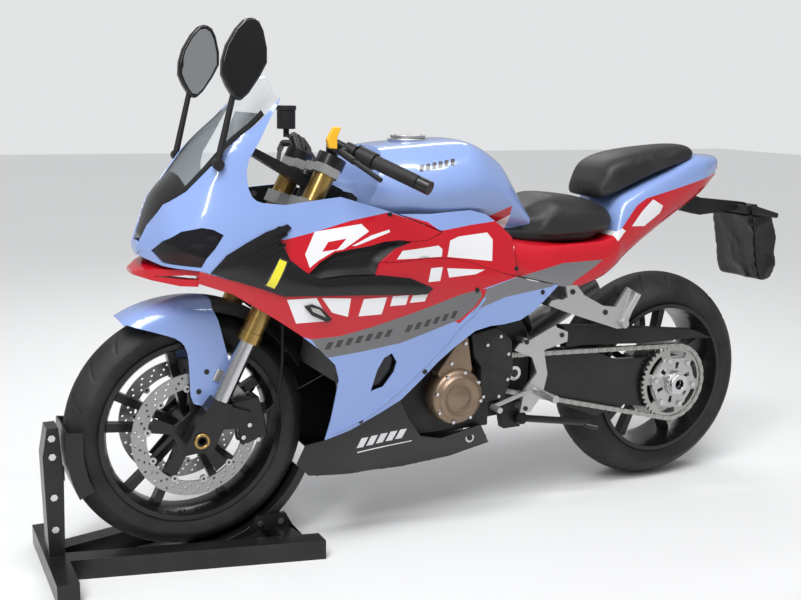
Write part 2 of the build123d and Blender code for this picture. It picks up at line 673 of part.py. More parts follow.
# Exhaust: four headers, the collector under the engine and the silencer on the right
muffler_radius = 46.0
muffler_start = Vector(-1040, -208, 380)
muffler_end = Vector(-1382, -222, 556)
muffler_along = (muffler_end - muffler_start).normalized()
port = Vector(-458.3, 0, 560.9)
port_out = Vector(0.937, 0, -0.348)
with BuildPart() as exhaust:
    for y in (-102, -34, 34, 102):
        side = Vector(0, y, 0)
        elbow = port + port_out * 24 + side
        add(rod(port + port_out * seat_gap + side, elbow, 16))
        add(rod(elbow + Vector(0, 0, 6), (-450, y * 0.5, 300), 16))
        add(rod((-450, y * 0.5, 304), (-505, y * 0.4, 236), 16))
    add(block((-760, -62, 216), (-495, 62, 250)))
    add(rod((-750, -46, 234), (-862, -154, 252), 19))
    add(rod((-862, -154, 252), (-962, -190, 306), 19))
    add(rod((-962, -190, 306), muffler_start, 19))
    add(cone(muffler_start, muffler_start + muffler_along * 120, 24, muffler_radius))
    add(rod(muffler_start + muffler_along * 120, muffler_end, muffler_radius))
    add(rod(muffler_end - muffler_along * 30, muffler_end + muffler_along * 1, muffler_radius - 14),
        mode=Mode.SUBTRACT)

# Fuel tank. A row is x, then the left half of the section as (y, z) from the top.
tank_rows = [
    (-348, [(60, 972), (108, 962), (148, 930), (160, 905), (160, 880), (120, 866)]),
    (-450, [(70, 1008), (128, 984), (172, 930), (176, 890), (164, 856), (120, 838)]),
    (-560, [(75, 1022), (140, 1000), (186, 930), (184, 880), (160, 846), (120, 820)]),
    (-700, [(75, 1030), (140, 1004), (176, 930), (164, 872), (140, 838), (100, 806)]),
    (-820, [(60, 984), (108, 958), (138, 900), (128, 850), (108, 814), (80, 792)]),
    (-925, [(40, 845), (80, 836), (100, 818), (95, 802), (80, 792), (60, 788)]),
]
yoke_sweep = 158.0
tank_setback = 78.0
cap_centre = Vector(-600, 0, 1032)
filler_radius = 24.0
cap_radius = 46.0
cap_thickness = 8.0
with BuildPart() as fuel_tank:
    add(section_loft(tank_rows))
    add(rod(cap_centre - Vector(0, 0, 20), cap_centre, cap_radius + 6))
    add(rod(cap_centre - Vector(0, 0, 60), cap_centre + Vector(0, 0, 1), filler_radius), mode=Mode.SUBTRACT)
    with BuildSketch(Plane(origin=on_leg(-yoke_offset, 0, 400), x_dir=leg_forward, z_dir=leg_up)):
        with BuildLine():
            Polyline((200, yoke_sweep), (-tank_setback + 6, yoke_sweep), (-tank_setback, yoke_sweep - 30),
                     (-tank_setback, 30 - yoke_sweep), (-tank_setback + 6, -yoke_sweep), (200, -yoke_sweep),
                     close=True)
        make_face()
    extrude(amount=600, mode=Mode.SUBTRACT)

with BuildPart() as fuel_cap:
    add(rod(cap_centre + Vector(0, 0, seat_gap), cap_centre + Vector(0, 0, cap_thickness), cap_radius))
    add(rod(cap_centre - Vector(0, 0, 6), cap_centre + Vector(0, 0, seat_gap + 1), filler_radius - 5))

# Seats and tail
tail_rows = [
    (-842, [(40, 774), (118, 770), (150, 740), (156, 686), (140, 676), (40, 676)]),
    (-930, [(40, 760), (112, 758), (150, 738), (162, 668), (144, 656), (40, 656)]),
    (-1040, [(40, 752), (116, 750), (148, 742), (158, 650), (140, 630), (40, 628)]),
    (-1140, [(40, 756), (112, 754), (142, 746), (150, 676), (132, 650), (40, 648)]),
    (-1200, [(40, 776), (104, 774), (132, 768), (140, 704), (120, 680), (40, 678)]),
    (-1226, [(40, 860), (88, 852), (120, 820), (128, 724), (110, 694), (40, 692)]),
    (-1300, [(40, 900), (86, 896), (112, 868), (116, 780), (100, 738), (40, 736)]),
    (-1400, [(40, 936), (84, 932), (104, 912), (106, 846), (90, 796), (40, 794)]),
    (-1540, [(36, 984), (72, 976), (86, 956), (86, 908), (74, 872), (36, 870)]),
    (-1620, [(22, 980), (44, 974), (54, 962), (52, 940), (44, 918), (22, 914)]),
]
rider_rows = [
    (-862, [(30, 838), (76, 826), (86, 800), (80, 782)]),
    (-943, [(50, 848), (104, 832), (118, 800), (106, 762)]),
    (-1006, [(56, 880), (118, 860), (138, 812), (118, 756)]),
    (-1090, [(56, 872), (124, 852), (144, 812), (120, 758)]),
    (-1190, [(46, 850), (104, 836), (122, 808), (100, 776)]),
    (-1222, [(26, 838), (60, 828), (72, 806), (60, 788)]),
]
with BuildPart() as rider_seat:
    add(section_loft(rider_rows))
    add(section_loft(shifted(tank_rows, seat_gap)), mode=Mode.SUBTRACT)
    add(section_loft(shifted(tail_rows, seat_gap)), mode=Mode.SUBTRACT)

pillion_rows = [
    (-1164, [(30, 905), (70, 896), (82, 872), (70, 858)]),
    (-1206, [(40, 968), (86, 950), (100, 900), (84, 868)]),
    (-1300, [(44, 996), (94, 980), (108, 940), (92, 908)]),
    (-1400, [(44, 1006), (90, 992), (100, 966), (86, 942)]),
    (-1500, [(38, 1012), (76, 1002), (84, 986), (72, 966)]),
    (-1532, [(24, 1002), (50, 996), (56, 988), (48, 980)]),
]
with BuildPart() as pillion_seat:
    add(section_loft(pillion_rows))
    add(section_loft(shifted(tail_rows, seat_gap)), mode=Mode.SUBTRACT)

with BuildPart() as tail_fairing:
    add(section_loft(tail_rows))

with BuildPart() as tail_light:
    add(section_loft([(-1620 - seat_gap, [(18, 972), (38, 968), (40, 934), (18, 928)]),
                      (-1646, [(12, 962), (26, 958), (28, 940), (12, 936)])]))

with BuildPart() as plate_holder:
    add(plate([(-1470, 826), (-1500, 851), (-1540, 869), (-1600, 850), (-1778, 832), (-1793, 813),
               (-1599, 798)], -20, 20))
    add(plate([(-1735, 826), (-1780, 830), (-1790, 812), (-1745, 800)], -70, 70))
    add(section_loft(shifted(tail_rows, seat_gap)), mode=Mode.SUBTRACT)

with BuildPart() as rear_signals:
    add(rod((-1762, 70.5, 815), (-1762, 104, 815), 7))
    add(cone((-1738, 104, 816), (-1812, 122, 800), 14, 8))
    mirror(about=Plane.XZ)

with BuildPart() as wrapped_plate:
    add(plate([(-1745, 799.7), (-1760, 740), (-1778, 640), (-1800, 590), (-1846, 596), (-plate_reach, 640),
               (-1852, 740), (-1826, 800), (-1795, 811.5), (-1790, 811.7)], -92, 92))

with BuildPart() as front_signals:
    add(section_loft(shifted(fairing_rows[3:5], 10)))
    add(plate([(-221, 654), (-240, 658), (-263, 648), (-291, 618), (-279, 612), (-239, 632)], 60, far),
        mode=Mode.INTERSECT)
    add(section_loft(shifted(fairing_rows[3:5], seat_gap)), mode=Mode.SUBTRACT)
    mirror(about=Plane.XZ)

# Mirrors, dash and the stay that carries them from the head tube
with BuildPart() as mirrors:
    add(rod((-34, 120, 982), (-34, 178, 982), 13))
    add(section_loft(shifted(fairing_rows, seat_gap)), mode=Mode.SUBTRACT)
    add(windscreen.part, mode=Mode.SUBTRACT)
    add(rod((-34, 176, 976), (-60, 178, 1150), 9))
    add(plate([(-62, 1140), (-86, 1128), (-152, 1215), (-132, 1292), (-117, 1306), (-92, 1300), (-48, 1236),
               (-42, 1180)], 164, 192))
    mirror(about=Plane.XZ)

with BuildPart() as dash:
    add(plate([(-118, 1000), (-136, 1006), (-176, 1088), (-160, 1096)], -86, 86))

# Single-sided swingarm
hub_shaft_radius = 34.5
hub_bore = 14.0
arm_low = 94.0
arm_high = 110.0
barrel_low = 62.0
with BuildPart() as swingarm:
    add(ring(pivot, -spar_low + 1, spar_low - 1, 36, pivot_radius + shaft_gap))
    add(plate([(-905, 430), (-905, 372), (-952, 330), (-1034, 290), (-1108, 300), (-1108, 425), (-1040, 452),
               (-952, 455)], -spar_low + 1, arm_high))
    add(plate([(-1040, 290), (-1040, 452), (-1128, 443), (-1239, 400), (-1420, 392), (-1460, 240),
               (-1400, 235), (-1264, 262), (-1177, 236)], arm_low, arm_high))
    add(ring(rear_hub_centre, barrel_low, arm_high, 80))
    add(ring(pivot, -spar_high, spar_high, pivot_radius + shaft_gap), mode=Mode.SUBTRACT)
    add(plate([(-830, 480), (-947, 480), (-938, 330), (-830, 330)], spar_low - 1, spar_high + 20),
        mode=Mode.SUBTRACT)
    add(ring(rear_hub_centre, barrel_low - 1, arm_high + 1, hub_shaft_radius + shaft_gap), mode=Mode.SUBTRACT)

# Rear wheel
rear_rim_half = 80.0
rear_hub_low = -58.0
rear_hub_high = 45.0
with BuildPart() as rear_rim:
    add(rim(rear_hub_centre, rear_rim_half, 62, rear_hub_low, rear_hub_high, hub_shaft_radius + shaft_gap,
            5, 15))

with BuildPart() as rear_tyre:
    add(tyre(rear_tyre_radius, rear_tyre_width, rear_hub_centre, 52, rear_rim_half))

with BuildPart() as rear_disc:
    add(brake_disc(rear_hub_centre, 50, 55, 84, 120, 58, hub_shaft_radius + shaft_gap,
                   rear_hub_high + seat_gap, 50))

with BuildPart() as rear_hub:
    add(ring(rear_hub_centre, -78, 146, hub_shaft_radius))
    add(ring(rear_hub_centre, -78, rear_hub_low - seat_gap, 52))
    add(ring(rear_hub_centre, -80, 150, hub_bore), mode=Mode.SUBTRACT)

# Chain and sprocket. The chain is a closed loop about the two sprocket circles.
chain_pitch = 15.875
rear_teeth = 44
front_teeth = 17
chain_half_depth = 8.0
rear_pitch_radius = chain_pitch / (2 * sin(pi / rear_teeth))
front_pitch_radius = chain_pitch / (2 * sin(pi / front_teeth))


def belt(grow):
    """Outline face of the chain's path, moved out by the given amount."""
    rear = Vector(*rear_hub_centre)
    front = Vector(*sprocket_centre)
    rear_radius = rear_pitch_radius + grow
    front_radius = front_pitch_radius + grow
    along = front - rear
    slope = atan2(along.Y, along.X)
    lean = asin((rear_radius - front_radius) / along.length)
    top = slope + pi / 2 - lean
    bottom = slope - pi / 2 + lean
    with BuildSketch() as face:
        with BuildLine():
            rear_arc = CenterArc(rear, rear_radius, degrees(top), 360 - degrees(top - bottom))
            front_arc = CenterArc(front, front_radius, degrees(bottom), degrees(top - bottom))
            Line(rear_arc @ 1, front_arc @ 0)
            Line(front_arc @ 1, rear_arc @ 0)
        make_face()
    return face.sketch


with BuildPart() as chain:
    with BuildSketch(Plane.XZ.offset(-chain_high)):
        add(belt(chain_half_depth))
        add(belt(-chain_half_depth), mode=Mode.SUBTRACT)
    extrude(amount=chain_high - chain_low)

with BuildPart() as sprocket:
    add(ring(rear_hub_centre, 121, 127, rear_pitch_radius - chain_half_depth - seam, 70))
    for arm in range(6):
        angle = radians(60 * arm + 10)
        middle = (rear_hub_centre[0] + 66 * cos(angle), rear_hub_centre[1] + 66 * sin(angle))
        add(ring(middle, 118, 131, 13))
    add(ring(rear_hub_centre, 116, 134, 64, hub_shaft_radius + shaft_gap))

with BuildPart() as chain_guard:
    add(plate([(-1027, 521), (-1165, 510), (-1502, 470), (-1574, 440), (-1502, 446), (-1315, 447),
               (-1100, 462), (-1040, 460)], 100, 138))
    add(plate([(-1070, 449.4), (-1070, 470), (-1090, 470), (-1090, 447.4)], 98, 109.7))

# Rear shock and caliper
with BuildPart() as rear_shock:
    add(rod((-976, 0, 484), (-940, 0, 560), 38))
    add(rod((-985, 0, 454.8), (-985, 0, 486), 14))
    add(rod((-940, 0, 560), (-898, 0, 590), 14))

with BuildPart() as rear_caliper:
    add(plate([(-1330, 270), (-1300, 270), (-1300, 350), (-1330, 350)], 34, arm_low - seat_gap))
    add(ring(rear_hub_centre, 46, 59, 126), mode=Mode.SUBTRACT)

# Footrests
with BuildPart() as rearsets:
    add(plate([(-862, 470), (-876, 486), (-908, 493), (-987, 527), (-1035, 507), (-1035, 480), (-958, 462),
               (-973, 393), (-960, 337), (-922, 290), (-888, 292), (-899, 355), (-938, 400), (-920, 445)],
              140, 148))
    add(ring((-900, 490), spar_high + seat_gap, 141, 10))
    add(ring((-905, 302), spar_high + seat_gap, 141, 10))
    add(rod((-935, 147, 350), (-940, 240, 348), 11))
    mirror(about=Plane.XZ)
    add(rod((-912, 152, 352), (-780, 178, 330), 6))
    add(rod((-780, 178, 330), (-780, 216, 330), 8))
    add(rod((-912, -152, 352), (-790, -190, 318), 6))
    add(rod((-790, -188, 318), (-790, -222, 318), 9))

with BuildPart() as pillion_brackets:
    add(plate([(-958, 590), (-968, 602), (-1020, 606), (-1012, 640), (-1048, 640), (-1075, 610), (-1144, 574),
               (-1185, 568), (-1225, 622), (-1268, 598), (-1225, 505), (-1195, 505), (-1130, 528),
               (-1040, 558)], 150, 160))
    add(rod((-1212, 158, 520), (-1250, 174, 606), 11))
    add(rod((-1212, 159, 520), (-1212, 176, 520), 12))
    mirror(about=Plane.XZ)

# Side stand, folded back along the bike
with BuildPart() as side_stand:
    add(rod(stand_pivot + stand_folded * 16, stand_pivot + stand_folded * stand_length, 10))
    add(rod(stand_pivot - stand_axis * 10, stand_pivot + stand_axis * 10, 17, stand_pin + seat_gap))
    add(rod(stand_pivot + stand_folded * (stand_length - 30) + Vector(0, 0, -8),
            stand_pivot + stand_folded * stand_length + Vector(0, 26, -8), 7))

# Chock that holds the front wheel
rail_front = 40.0
rail_back = 205.0
rail_reach = -290.0
post_half = 30.0
hoop_half = 76.0
with BuildPart() as chock_base:
    add(block((chock_reach - chock_tube, -190, 0), (chock_reach, 190, chock_tube)))
    for side in (-1, 1):
        with BuildSketch(Plane.XY):
            with BuildLine():
                Polyline((chock_reach - chock_tube, side * (rail_front - chock_tube / 2)),
                         (chock_reach - chock_tube, side * (rail_front + chock_tube / 2)),
                         (rail_reach, side * rail_back),
                         (rail_reach, side * (rail_back - chock_tube)), close=True)
            make_face()
        extrude(amount=chock_tube)
    add(block((-250, -175, 0), (-250 + chock_tube, 175, chock_tube)))
    add(plate([(post_x + 6, 0), (post_x + 40, 0), (post_x + 46, 300), (post_x + 34, 368), (post_x + 8, 368),
               (post_x, 250)], -post_half, post_half))
    for side in (-1, 1):
        low = min(side * 66, side * 80)
        add(plate([(-136, chock_tube - 1), (-250, chock_tube - 1), (-230, 86), (-150, 86)], low, low + 14))

with BuildPart() as chock_hoop:
    add(arc_band(front_hub, front_tyre_radius + seat_gap, 4, -24, 8, -hoop_half, hoop_half))
    for side in (-1, 1):
        low = min(side * (hoop_half - 6), side * hoop_half)
        add(arc_band(front_hub, front_tyre_radius - 34, 38, -24, 8, low, low + 6))
    add(block((post_x - 2, -post_half, 236), (post_x - seat_gap, post_half, 270)))

with BuildPart() as chock_rocker:
    add(arc_band(front_hub, front_tyre_radius + seat_gap, 4, 205, 272, -65.7, 65.7))
    for side in (-1, 1):
        low = min(side * 61, side * 65.7)
        add(arc_band(front_hub, front_tyre_radius + seat_gap, 22, 205, 262, low, low + 4.7))

pieces = {
    "front_rim": front_rim, "front_tyre": front_tyre, "front_discs": front_discs,
    "fork_lowers": fork_lowers, "fork_uppers": fork_uppers, "yokes": yokes, "clip_ons": clip_ons,
    "grips": grips, "bar_controls": bar_controls, "brake_reservoir": brake_reservoir,
    "front_fender": front_fender, "front_calipers": front_calipers, "brake_hose_left": brake_hose_left,
    "brake_hose_right": brake_hose_right, "upper_fairing_left": upper_fairing_left,
    "upper_fairing_right": upper_fairing_right, "side_fairing_left": side_fairing_left,
    "side_fairing_right": side_fairing_right, "tank_covers": tank_covers, "belly_pan": belly_pan,
    "chin": chin, "headlights": headlights, "windscreen": windscreen, "winglets": winglets,
    "intake_ducts": intake_ducts, "main_frame": main_frame, "engine_block": engine_block,
    "generator_cover": generator_cover, "sprocket_cover": sprocket_cover, "clutch_cover": clutch_cover,
    "radiator": radiator, "exhaust": exhaust, "fuel_tank": fuel_tank, "fuel_cap": fuel_cap,
    "rider_seat": rider_seat, "pillion_seat": pillion_seat, "tail_fairing": tail_fairing,
    "tail_light": tail_light, "plate_holder": plate_holder, "rear_signals": rear_signals,
    "wrapped_plate": wrapped_plate, "front_signals": front_signals, "mirrors": mirrors, "dash": dash,
    "swingarm": swingarm, "rear_rim": rear_rim, "rear_tyre": rear_tyre, "rear_disc": rear_disc,
    "rear_hub": rear_hub, "chain": chain, "sprocket": sprocket, "chain_guard": chain_guard,
    "rear_shock": rear_shock, "rear_caliper": rear_caliper, "rearsets": rearsets,
    "pillion_brackets": pillion_brackets, "side_stand": side_stand, "chock_base": chock_base,
    "chock_hoop": chock_hoop, "chock_rocker": chock_rocker,
}
for name, piece in pieces.items():
    moved = Pos(-middle_x, 0, 0) * piece.part
    moved.label = name
    export_step(moved, f"parts/{name}.step")
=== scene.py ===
import math
from contextlib import contextmanager

import bmesh
import bpy
from mathutils import Euler, Matrix, Vector, noise
from mathutils.geometry import delaunay_2d_cdt


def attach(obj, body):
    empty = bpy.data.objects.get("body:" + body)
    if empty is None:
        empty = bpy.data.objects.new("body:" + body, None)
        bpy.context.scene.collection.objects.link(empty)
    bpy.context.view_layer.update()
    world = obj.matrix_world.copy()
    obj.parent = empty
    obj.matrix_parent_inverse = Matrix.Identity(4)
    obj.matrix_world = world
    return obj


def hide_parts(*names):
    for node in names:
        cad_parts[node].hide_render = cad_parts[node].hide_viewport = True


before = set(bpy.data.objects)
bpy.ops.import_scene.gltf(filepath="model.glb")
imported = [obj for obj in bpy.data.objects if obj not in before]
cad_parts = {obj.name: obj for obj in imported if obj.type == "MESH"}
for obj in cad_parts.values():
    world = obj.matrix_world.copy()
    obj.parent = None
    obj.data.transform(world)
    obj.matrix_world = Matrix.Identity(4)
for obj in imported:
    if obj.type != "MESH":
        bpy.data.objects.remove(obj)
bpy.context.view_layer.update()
print("frame loaded")

# Places are written in millimetres with x counted forward from the front axle
axleShift = 753.5
frontAxle = (0.0, 324.0)
rearAxle = (-1440.0, 315.0)


def row(x, y, z):
    return Vector(((x + axleShift) / 1000, y / 1000, z / 1000))


# ---- nodes, colours and finishes
def addNode(tree, kind, inputs=None, **settings):
    # each input takes a value, or a link from another node's output
    node = tree.nodes.new(kind)
    for key, value in settings.items():
        setattr(node, key, value)
    for key, value in (inputs or {}).items():
        if isinstance(value, bpy.types.NodeSocket):
            tree.links.new(value, node.inputs[key])
        else:
            node.inputs[key].default_value = value
    return node


def addGroup(name, inputs, outputs, kind="ShaderNodeTree"):
    tree = bpy.data.node_groups.new(name, kind)
    for label, socketKind, value in inputs:
        socket = tree.interface.new_socket(label, in_out="INPUT", socket_type=socketKind)
        if value is not None:
            socket.default_value = value
    for label, socketKind in outputs:
        tree.interface.new_socket(label, in_out="OUTPUT", socket_type=socketKind)
    return tree, tree.nodes.new("NodeGroupInput").outputs, tree.nodes.new("NodeGroupOutput").inputs


def noiseFac(tree, coord, scale, detail):
    return addNode(tree, "ShaderNodeTexNoise", {"Vector": coord, "Scale": scale, "Detail": detail,
                                                "Roughness": 0.55}).outputs["Fac"]


def remapped(tree, value, low, high, toLow, toHigh):
    return addNode(tree, "ShaderNodeMapRange", {"Value": value, "From Min": low, "From Max": high, "To Min": toLow,
                                                "To Max": toHigh}).outputs["Result"]


def handledGroup():
    # soft blotches of dust in the colour, and a roughness that wanders a little
    tree, given, end = addGroup(
        "handledSurface",
        [("Color", "NodeSocketColor", (0.5, 0.5, 0.5, 1)), ("Dust Color", "NodeSocketColor", (0.5, 0.48, 0.45, 1)),
         ("Dust", "NodeSocketFloat", 0.05), ("Rough", "NodeSocketFloat", 0.4), ("Spread", "NodeSocketFloat", 0.05),
         ("Scale", "NodeSocketFloat", 6.0)],
        [("Color", "NodeSocketColor"), ("Roughness", "NodeSocketFloat")])
    coord = addNode(tree, "ShaderNodeTexCoord").outputs["Object"]
    broad = noiseFac(tree, coord, given["Scale"], 6.0)
    fine = noiseFac(tree, coord, 140.0, 2.0)
    amount = remapped(tree, broad, 0.35, 0.75, 0.0, given["Dust"])
    mix = addNode(tree, "ShaderNodeMix", {"Factor": amount, "A": given["Color"], "B": given["Dust Color"]},
                  data_type="RGBA")
    both = addNode(tree, "ShaderNodeMath", {0: broad, 1: fine}, operation="ADD").outputs[0]
    wander = addNode(tree, "ShaderNodeMath", {0: remapped(tree, both, 0.6, 1.4, -1.0, 1.0), 1: given["Spread"],
                                              2: given["Rough"]}, operation="MULTIPLY_ADD")
    tree.links.new(mix.outputs["Result"], end["Color"])
    tree.links.new(wander.outputs[0], end["Roughness"])
    return tree


def grainGroup():
    # pebbled height for moulded plastic, leather, rubber and cast metal
    tree, given, end = addGroup(
        "pebbleGrain", [("Scale", "NodeSocketFloat", 400.0), ("Cells", "NodeSocketFloat", 0.5)],
        [("Height", "NodeSocketFloat")])
    coord = addNode(tree, "ShaderNodeTexCoord").outputs["Object"]
    cells = addNode(tree, "ShaderNodeTexVoronoi", {"Vector": coord, "Scale": given["Scale"]})
    mix = addNode(tree, "ShaderNodeMix", {"Factor": given["Cells"], "A": noiseFac(tree, coord, given["Scale"], 3.0),
                                          "B": cells.outputs["Distance"]})
    tree.links.new(mix.outputs["Result"], end["Height"])
    return tree


def brushedGroup():
    # fine lines along one direction, for turned and brushed metal
    tree, given, end = addGroup(
        "brushedLines", [("Stretch", "NodeSocketVector", (6.0, 300.0, 6.0))], [("Height", "NodeSocketFloat")])
    coord = addNode(tree, "ShaderNodeTexCoord").outputs["Object"]
    scaled = addNode(tree, "ShaderNodeVectorMath", {0: coord, 1: given["Stretch"]}, operation="MULTIPLY")
    tree.links.new(noiseFac(tree, scaled.outputs[0], 4.0, 2.0), end["Height"])
    return tree


handledTree = handledGroup()
grainTree = grainGroup()
brushedTree = brushedGroup()


def principled(name, values):
    material = bpy.data.materials.new(name)
    material.use_nodes = True
    shader = material.node_tree.nodes["Principled BSDF"]
    for label, value in values.items():
        shader.inputs[label].default_value = value
    return material, material.node_tree, shader.inputs


def finish(name, color, rough, metallic=0.0, coat=0.0, dust=0.04, spread=0.04, scale=6.0, grain=None, brushed=None,
           bump=0.1, specular=0.5):
    material, tree, shader = principled(name, {"Metallic": metallic, "Specular IOR Level": specular,
                                               "Coat Weight": coat, "Coat Roughness": 0.04})
    surface = addNode(tree, "ShaderNodeGroup", {
        "Color": (*color, 1), "Dust Color": (0.45, 0.43, 0.4, 1), "Dust": dust, "Rough": rough, "Spread": spread,
        "Scale": scale}, node_tree=handledTree).outputs
    tree.links.new(surface["Color"], shader["Base Color"])
    tree.links.new(surface["Roughness"], shader["Roughness"])
    if grain or brushed:
        relief = addNode(tree, "ShaderNodeGroup",
                         {"Scale": grain[0], "Cells": grain[1]} if grain else {"Stretch": brushed},
                         node_tree=grainTree if grain else brushedTree)
        bumped = addNode(tree, "ShaderNodeBump", {"Strength": bump, "Distance": 0.001,
                                                  "Height": relief.outputs["Height"]})
        tree.links.new(bumped.outputs["Normal"], shader["Normal"])
    return material


def clearFinish(name, color, alpha):
    return principled(name, {"Base Color": (*color, 1), "Roughness": 0.03, "Alpha": alpha, "Coat Weight": 0.5})[0]


paintBlue = finish("paintBlue", (0.215, 0.315, 0.62), 0.24, coat=0.9, dust=0.05, scale=3.0, specular=0.4)
paintRed = finish("paintRed", (0.48, 0.004, 0.014), 0.24, coat=0.6, dust=0.01, scale=3.0, specular=0.25)
paintWhite = finish("paintWhite", (0.74, 0.74, 0.76), 0.25, coat=1.0, dust=0.04, scale=3.0)
paintGrey = finish("paintGrey", (0.12, 0.12, 0.125), 0.3, coat=0.5, dust=0.04, scale=3.0)
paintSilver = finish("paintSilver", (0.2, 0.2, 0.21), 0.34, metallic=0.5, coat=0.6, dust=0.04, scale=3.0)
blackGloss = finish("blackGloss", (0.005, 0.005, 0.006), 0.16, coat=0.2, dust=0.01, scale=4.0, specular=0.35)
blackMoulded = finish("blackMoulded", (0.009, 0.009, 0.01), 0.5, dust=0.02, grain=(900.0, 0.6), bump=0.12,
                      specular=0.3)
blackEnamel = finish("blackEnamel", (0.007, 0.007, 0.008), 0.3, coat=0.1, dust=0.02, scale=10.0, specular=0.35)
blackCast = finish("blackCast", (0.01, 0.01, 0.011), 0.42, dust=0.04, scale=14.0, grain=(600.0, 0.2), bump=0.25,
                   specular=0.3)
bronzeCast = finish("bronzeCast", (0.24, 0.17, 0.115), 0.36, metallic=0.7, dust=0.05, scale=20.0,
                    grain=(700.0, 0.2), bump=0.15)
castSilver = finish("castSilver", (0.5, 0.5, 0.5), 0.36, metallic=0.85, dust=0.08, scale=14.0, grain=(600.0, 0.2),
                    bump=0.12)
brushedSteel = finish("brushedSteel", (0.36, 0.36, 0.36), 0.4, metallic=0.9, dust=0.06,
                      brushed=(300.0, 6.0, 6.0), bump=0.08, scale=20.0)
brightSteel = finish("brightSteel", (0.6, 0.6, 0.61), 0.2, metallic=1.0, dust=0.03, scale=12.0)
goldAnodised = finish("goldAnodised", (0.42, 0.27, 0.08), 0.28, metallic=0.9, coat=0.3, dust=0.03, spread=0.01,
                      scale=16.0)
tyreRubber = finish("tyreRubber", (0.01, 0.01, 0.0105), 0.6, dust=0.05, scale=9.0, grain=(500.0, 0.3), bump=0.15,
                    specular=0.3)
softRubber = finish("softRubber", (0.009, 0.009, 0.009), 0.6, dust=0.04, grain=(700.0, 0.5), bump=0.3,
                    specular=0.3)
seatLeather = finish("seatLeather", (0.012, 0.012, 0.013), 0.48, dust=0.03, scale=12.0, grain=(420.0, 0.75),
                     bump=0.35, specular=0.35)
chainSteel = finish("chainSteel", (0.42, 0.41, 0.39), 0.36, metallic=0.9, dust=0.15, scale=30.0)
filmWrap = finish("filmWrap", (0.006, 0.006, 0.007), 0.2, dust=0.01, grain=(26.0, 0.1), bump=1.0, scale=8.0,
                  specular=0.4)
redLens = finish("redLens", (0.4, 0.008, 0.01), 0.12, coat=1.0, dust=0.01)
amberLens = finish("amberLens", (0.35, 0.33, 0.31), 0.14, coat=1.0, dust=0.02)
lampInner = finish("lampInner", (0.2, 0.2, 0.22), 0.16, metallic=0.9, dust=0.02)
displayGlass = finish("displayGlass", (0.006, 0.007, 0.01), 0.06, coat=1.0, dust=0.01)
mirrorFace = finish("mirrorFace", (0.6, 0.62, 0.64), 0.03, metallic=1.0, dust=0.01)
yellowPlastic = finish("yellowPlastic", (0.8, 0.42, 0.01), 0.35, coat=0.3, dust=0.02)
labelYellow = finish("labelYellow", (0.72, 0.66, 0.03), 0.35, coat=0.3, dust=0.02)
paintBlack = finish("paintBlack", (0.012, 0.012, 0.014), 0.25, coat=0.5, dust=0.02, scale=3.0)
# dark red painted reflection, coloured into the lower part of each headlamp bowl
paintedRedReflection = finish("paintedRedReflection", (0.09, 0.003, 0.006), 0.14, coat=1.0, dust=0.01)
clearScreen = clearFinish("clearScreen", (0.5, 0.56, 0.6), alpha=0.22)
lampCover = clearFinish("lampCover", (0.006, 0.006, 0.008), alpha=0.42)
print("finishes made")


# ---- mesh helpers
def newObject(name, data):
    piece = bpy.data.objects.new(name, data)
    bpy.context.scene.collection.objects.link(piece)
    return piece


def dressMesh(mesh, materials, smooth=True):
    for material in materials:
        mesh.materials.append(material)
    mesh.polygons.foreach_set("use_smooth", [smooth] * len(mesh.polygons))


def makeMesh(name, points, faces, materials, zones=None, smooth=True):
    mesh = bpy.data.meshes.new(name)
    mesh.from_pydata([row(*p) for p in points], [], faces)
    dressMesh(mesh, materials, smooth)
    if zones:
        mesh.polygons.foreach_set("material_index", zones)
    return newObject(name, mesh)


@contextmanager
def editing(piece):
    # the piece's mesh for bmesh work, written back afterwards
    work = bmesh.new()
    work.from_mesh(piece.data)
    yield work
    work.to_mesh(piece.data)
    work.free()


def outward(piece):
    with editing(piece) as work:
        bmesh.ops.remove_doubles(work, verts=work.verts, dist=1e-6)
        bmesh.ops.recalc_face_normals(work, faces=work.faces)
    return piece


def bake(piece):
    bpy.context.view_layer.update()
    evaluated = piece.evaluated_get(bpy.context.evaluated_depsgraph_get())
    mesh = bpy.data.meshes.new_from_object(evaluated)
    piece.modifiers.clear()
    piece.data = mesh
    return piece


def modified(piece, kind, **settings):
    modifier = piece.modifiers.new(kind.lower(), kind)
    for key, value in settings.items():
        setattr(modifier, key, value)
    return piece


def bevelled(piece, width, segments=2, angle=35):
    return modified(piece, "BEVEL", width=width / 1000, segments=segments, limit_method="ANGLE",
                    angle_limit=math.radians(angle), harden_normals=True)


def walled(piece, thickness, inner=0):
    # inner moves the inner skin on to a later material of the piece
    return modified(piece, "SOLIDIFY", material_offset=inner, thickness=thickness / 1000, offset=-1)


def remeshed(piece, voxel):
    return bake(modified(piece, "REMESH", mode="VOXEL", voxel_size=voxel))


def softened(piece, iterations):
    modified(piece, "SMOOTH", iterations=iterations)
    return bake(modified(piece, "SUBSURF", levels=1, render_levels=1))


def place(piece, body, slotName, *nodes):
    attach(piece, body)
    if nodes:
        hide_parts(*nodes)
    return piece


def join(name, parts):
    # one mesh from several, keeping each part's materials
    work = bmesh.new()
    materials = []
    for part in parts:
        offsets = []
        for material in part.data.materials:
            if material not in materials:
                materials.append(material)
            offsets.append(materials.index(material))
        before = len(work.faces)
        work.from_mesh(part.data)
        work.faces.ensure_lookup_table()
        for face in work.faces[before:]:
            face.material_index = offsets[face.material_index] if offsets else 0
    mesh = bpy.data.meshes.new(name)
    work.to_mesh(mesh)
    work.free()
    for material in materials:
        mesh.materials.append(material)
    for part in parts:
        bpy.data.objects.remove(part)
    return newObject(name, mesh)


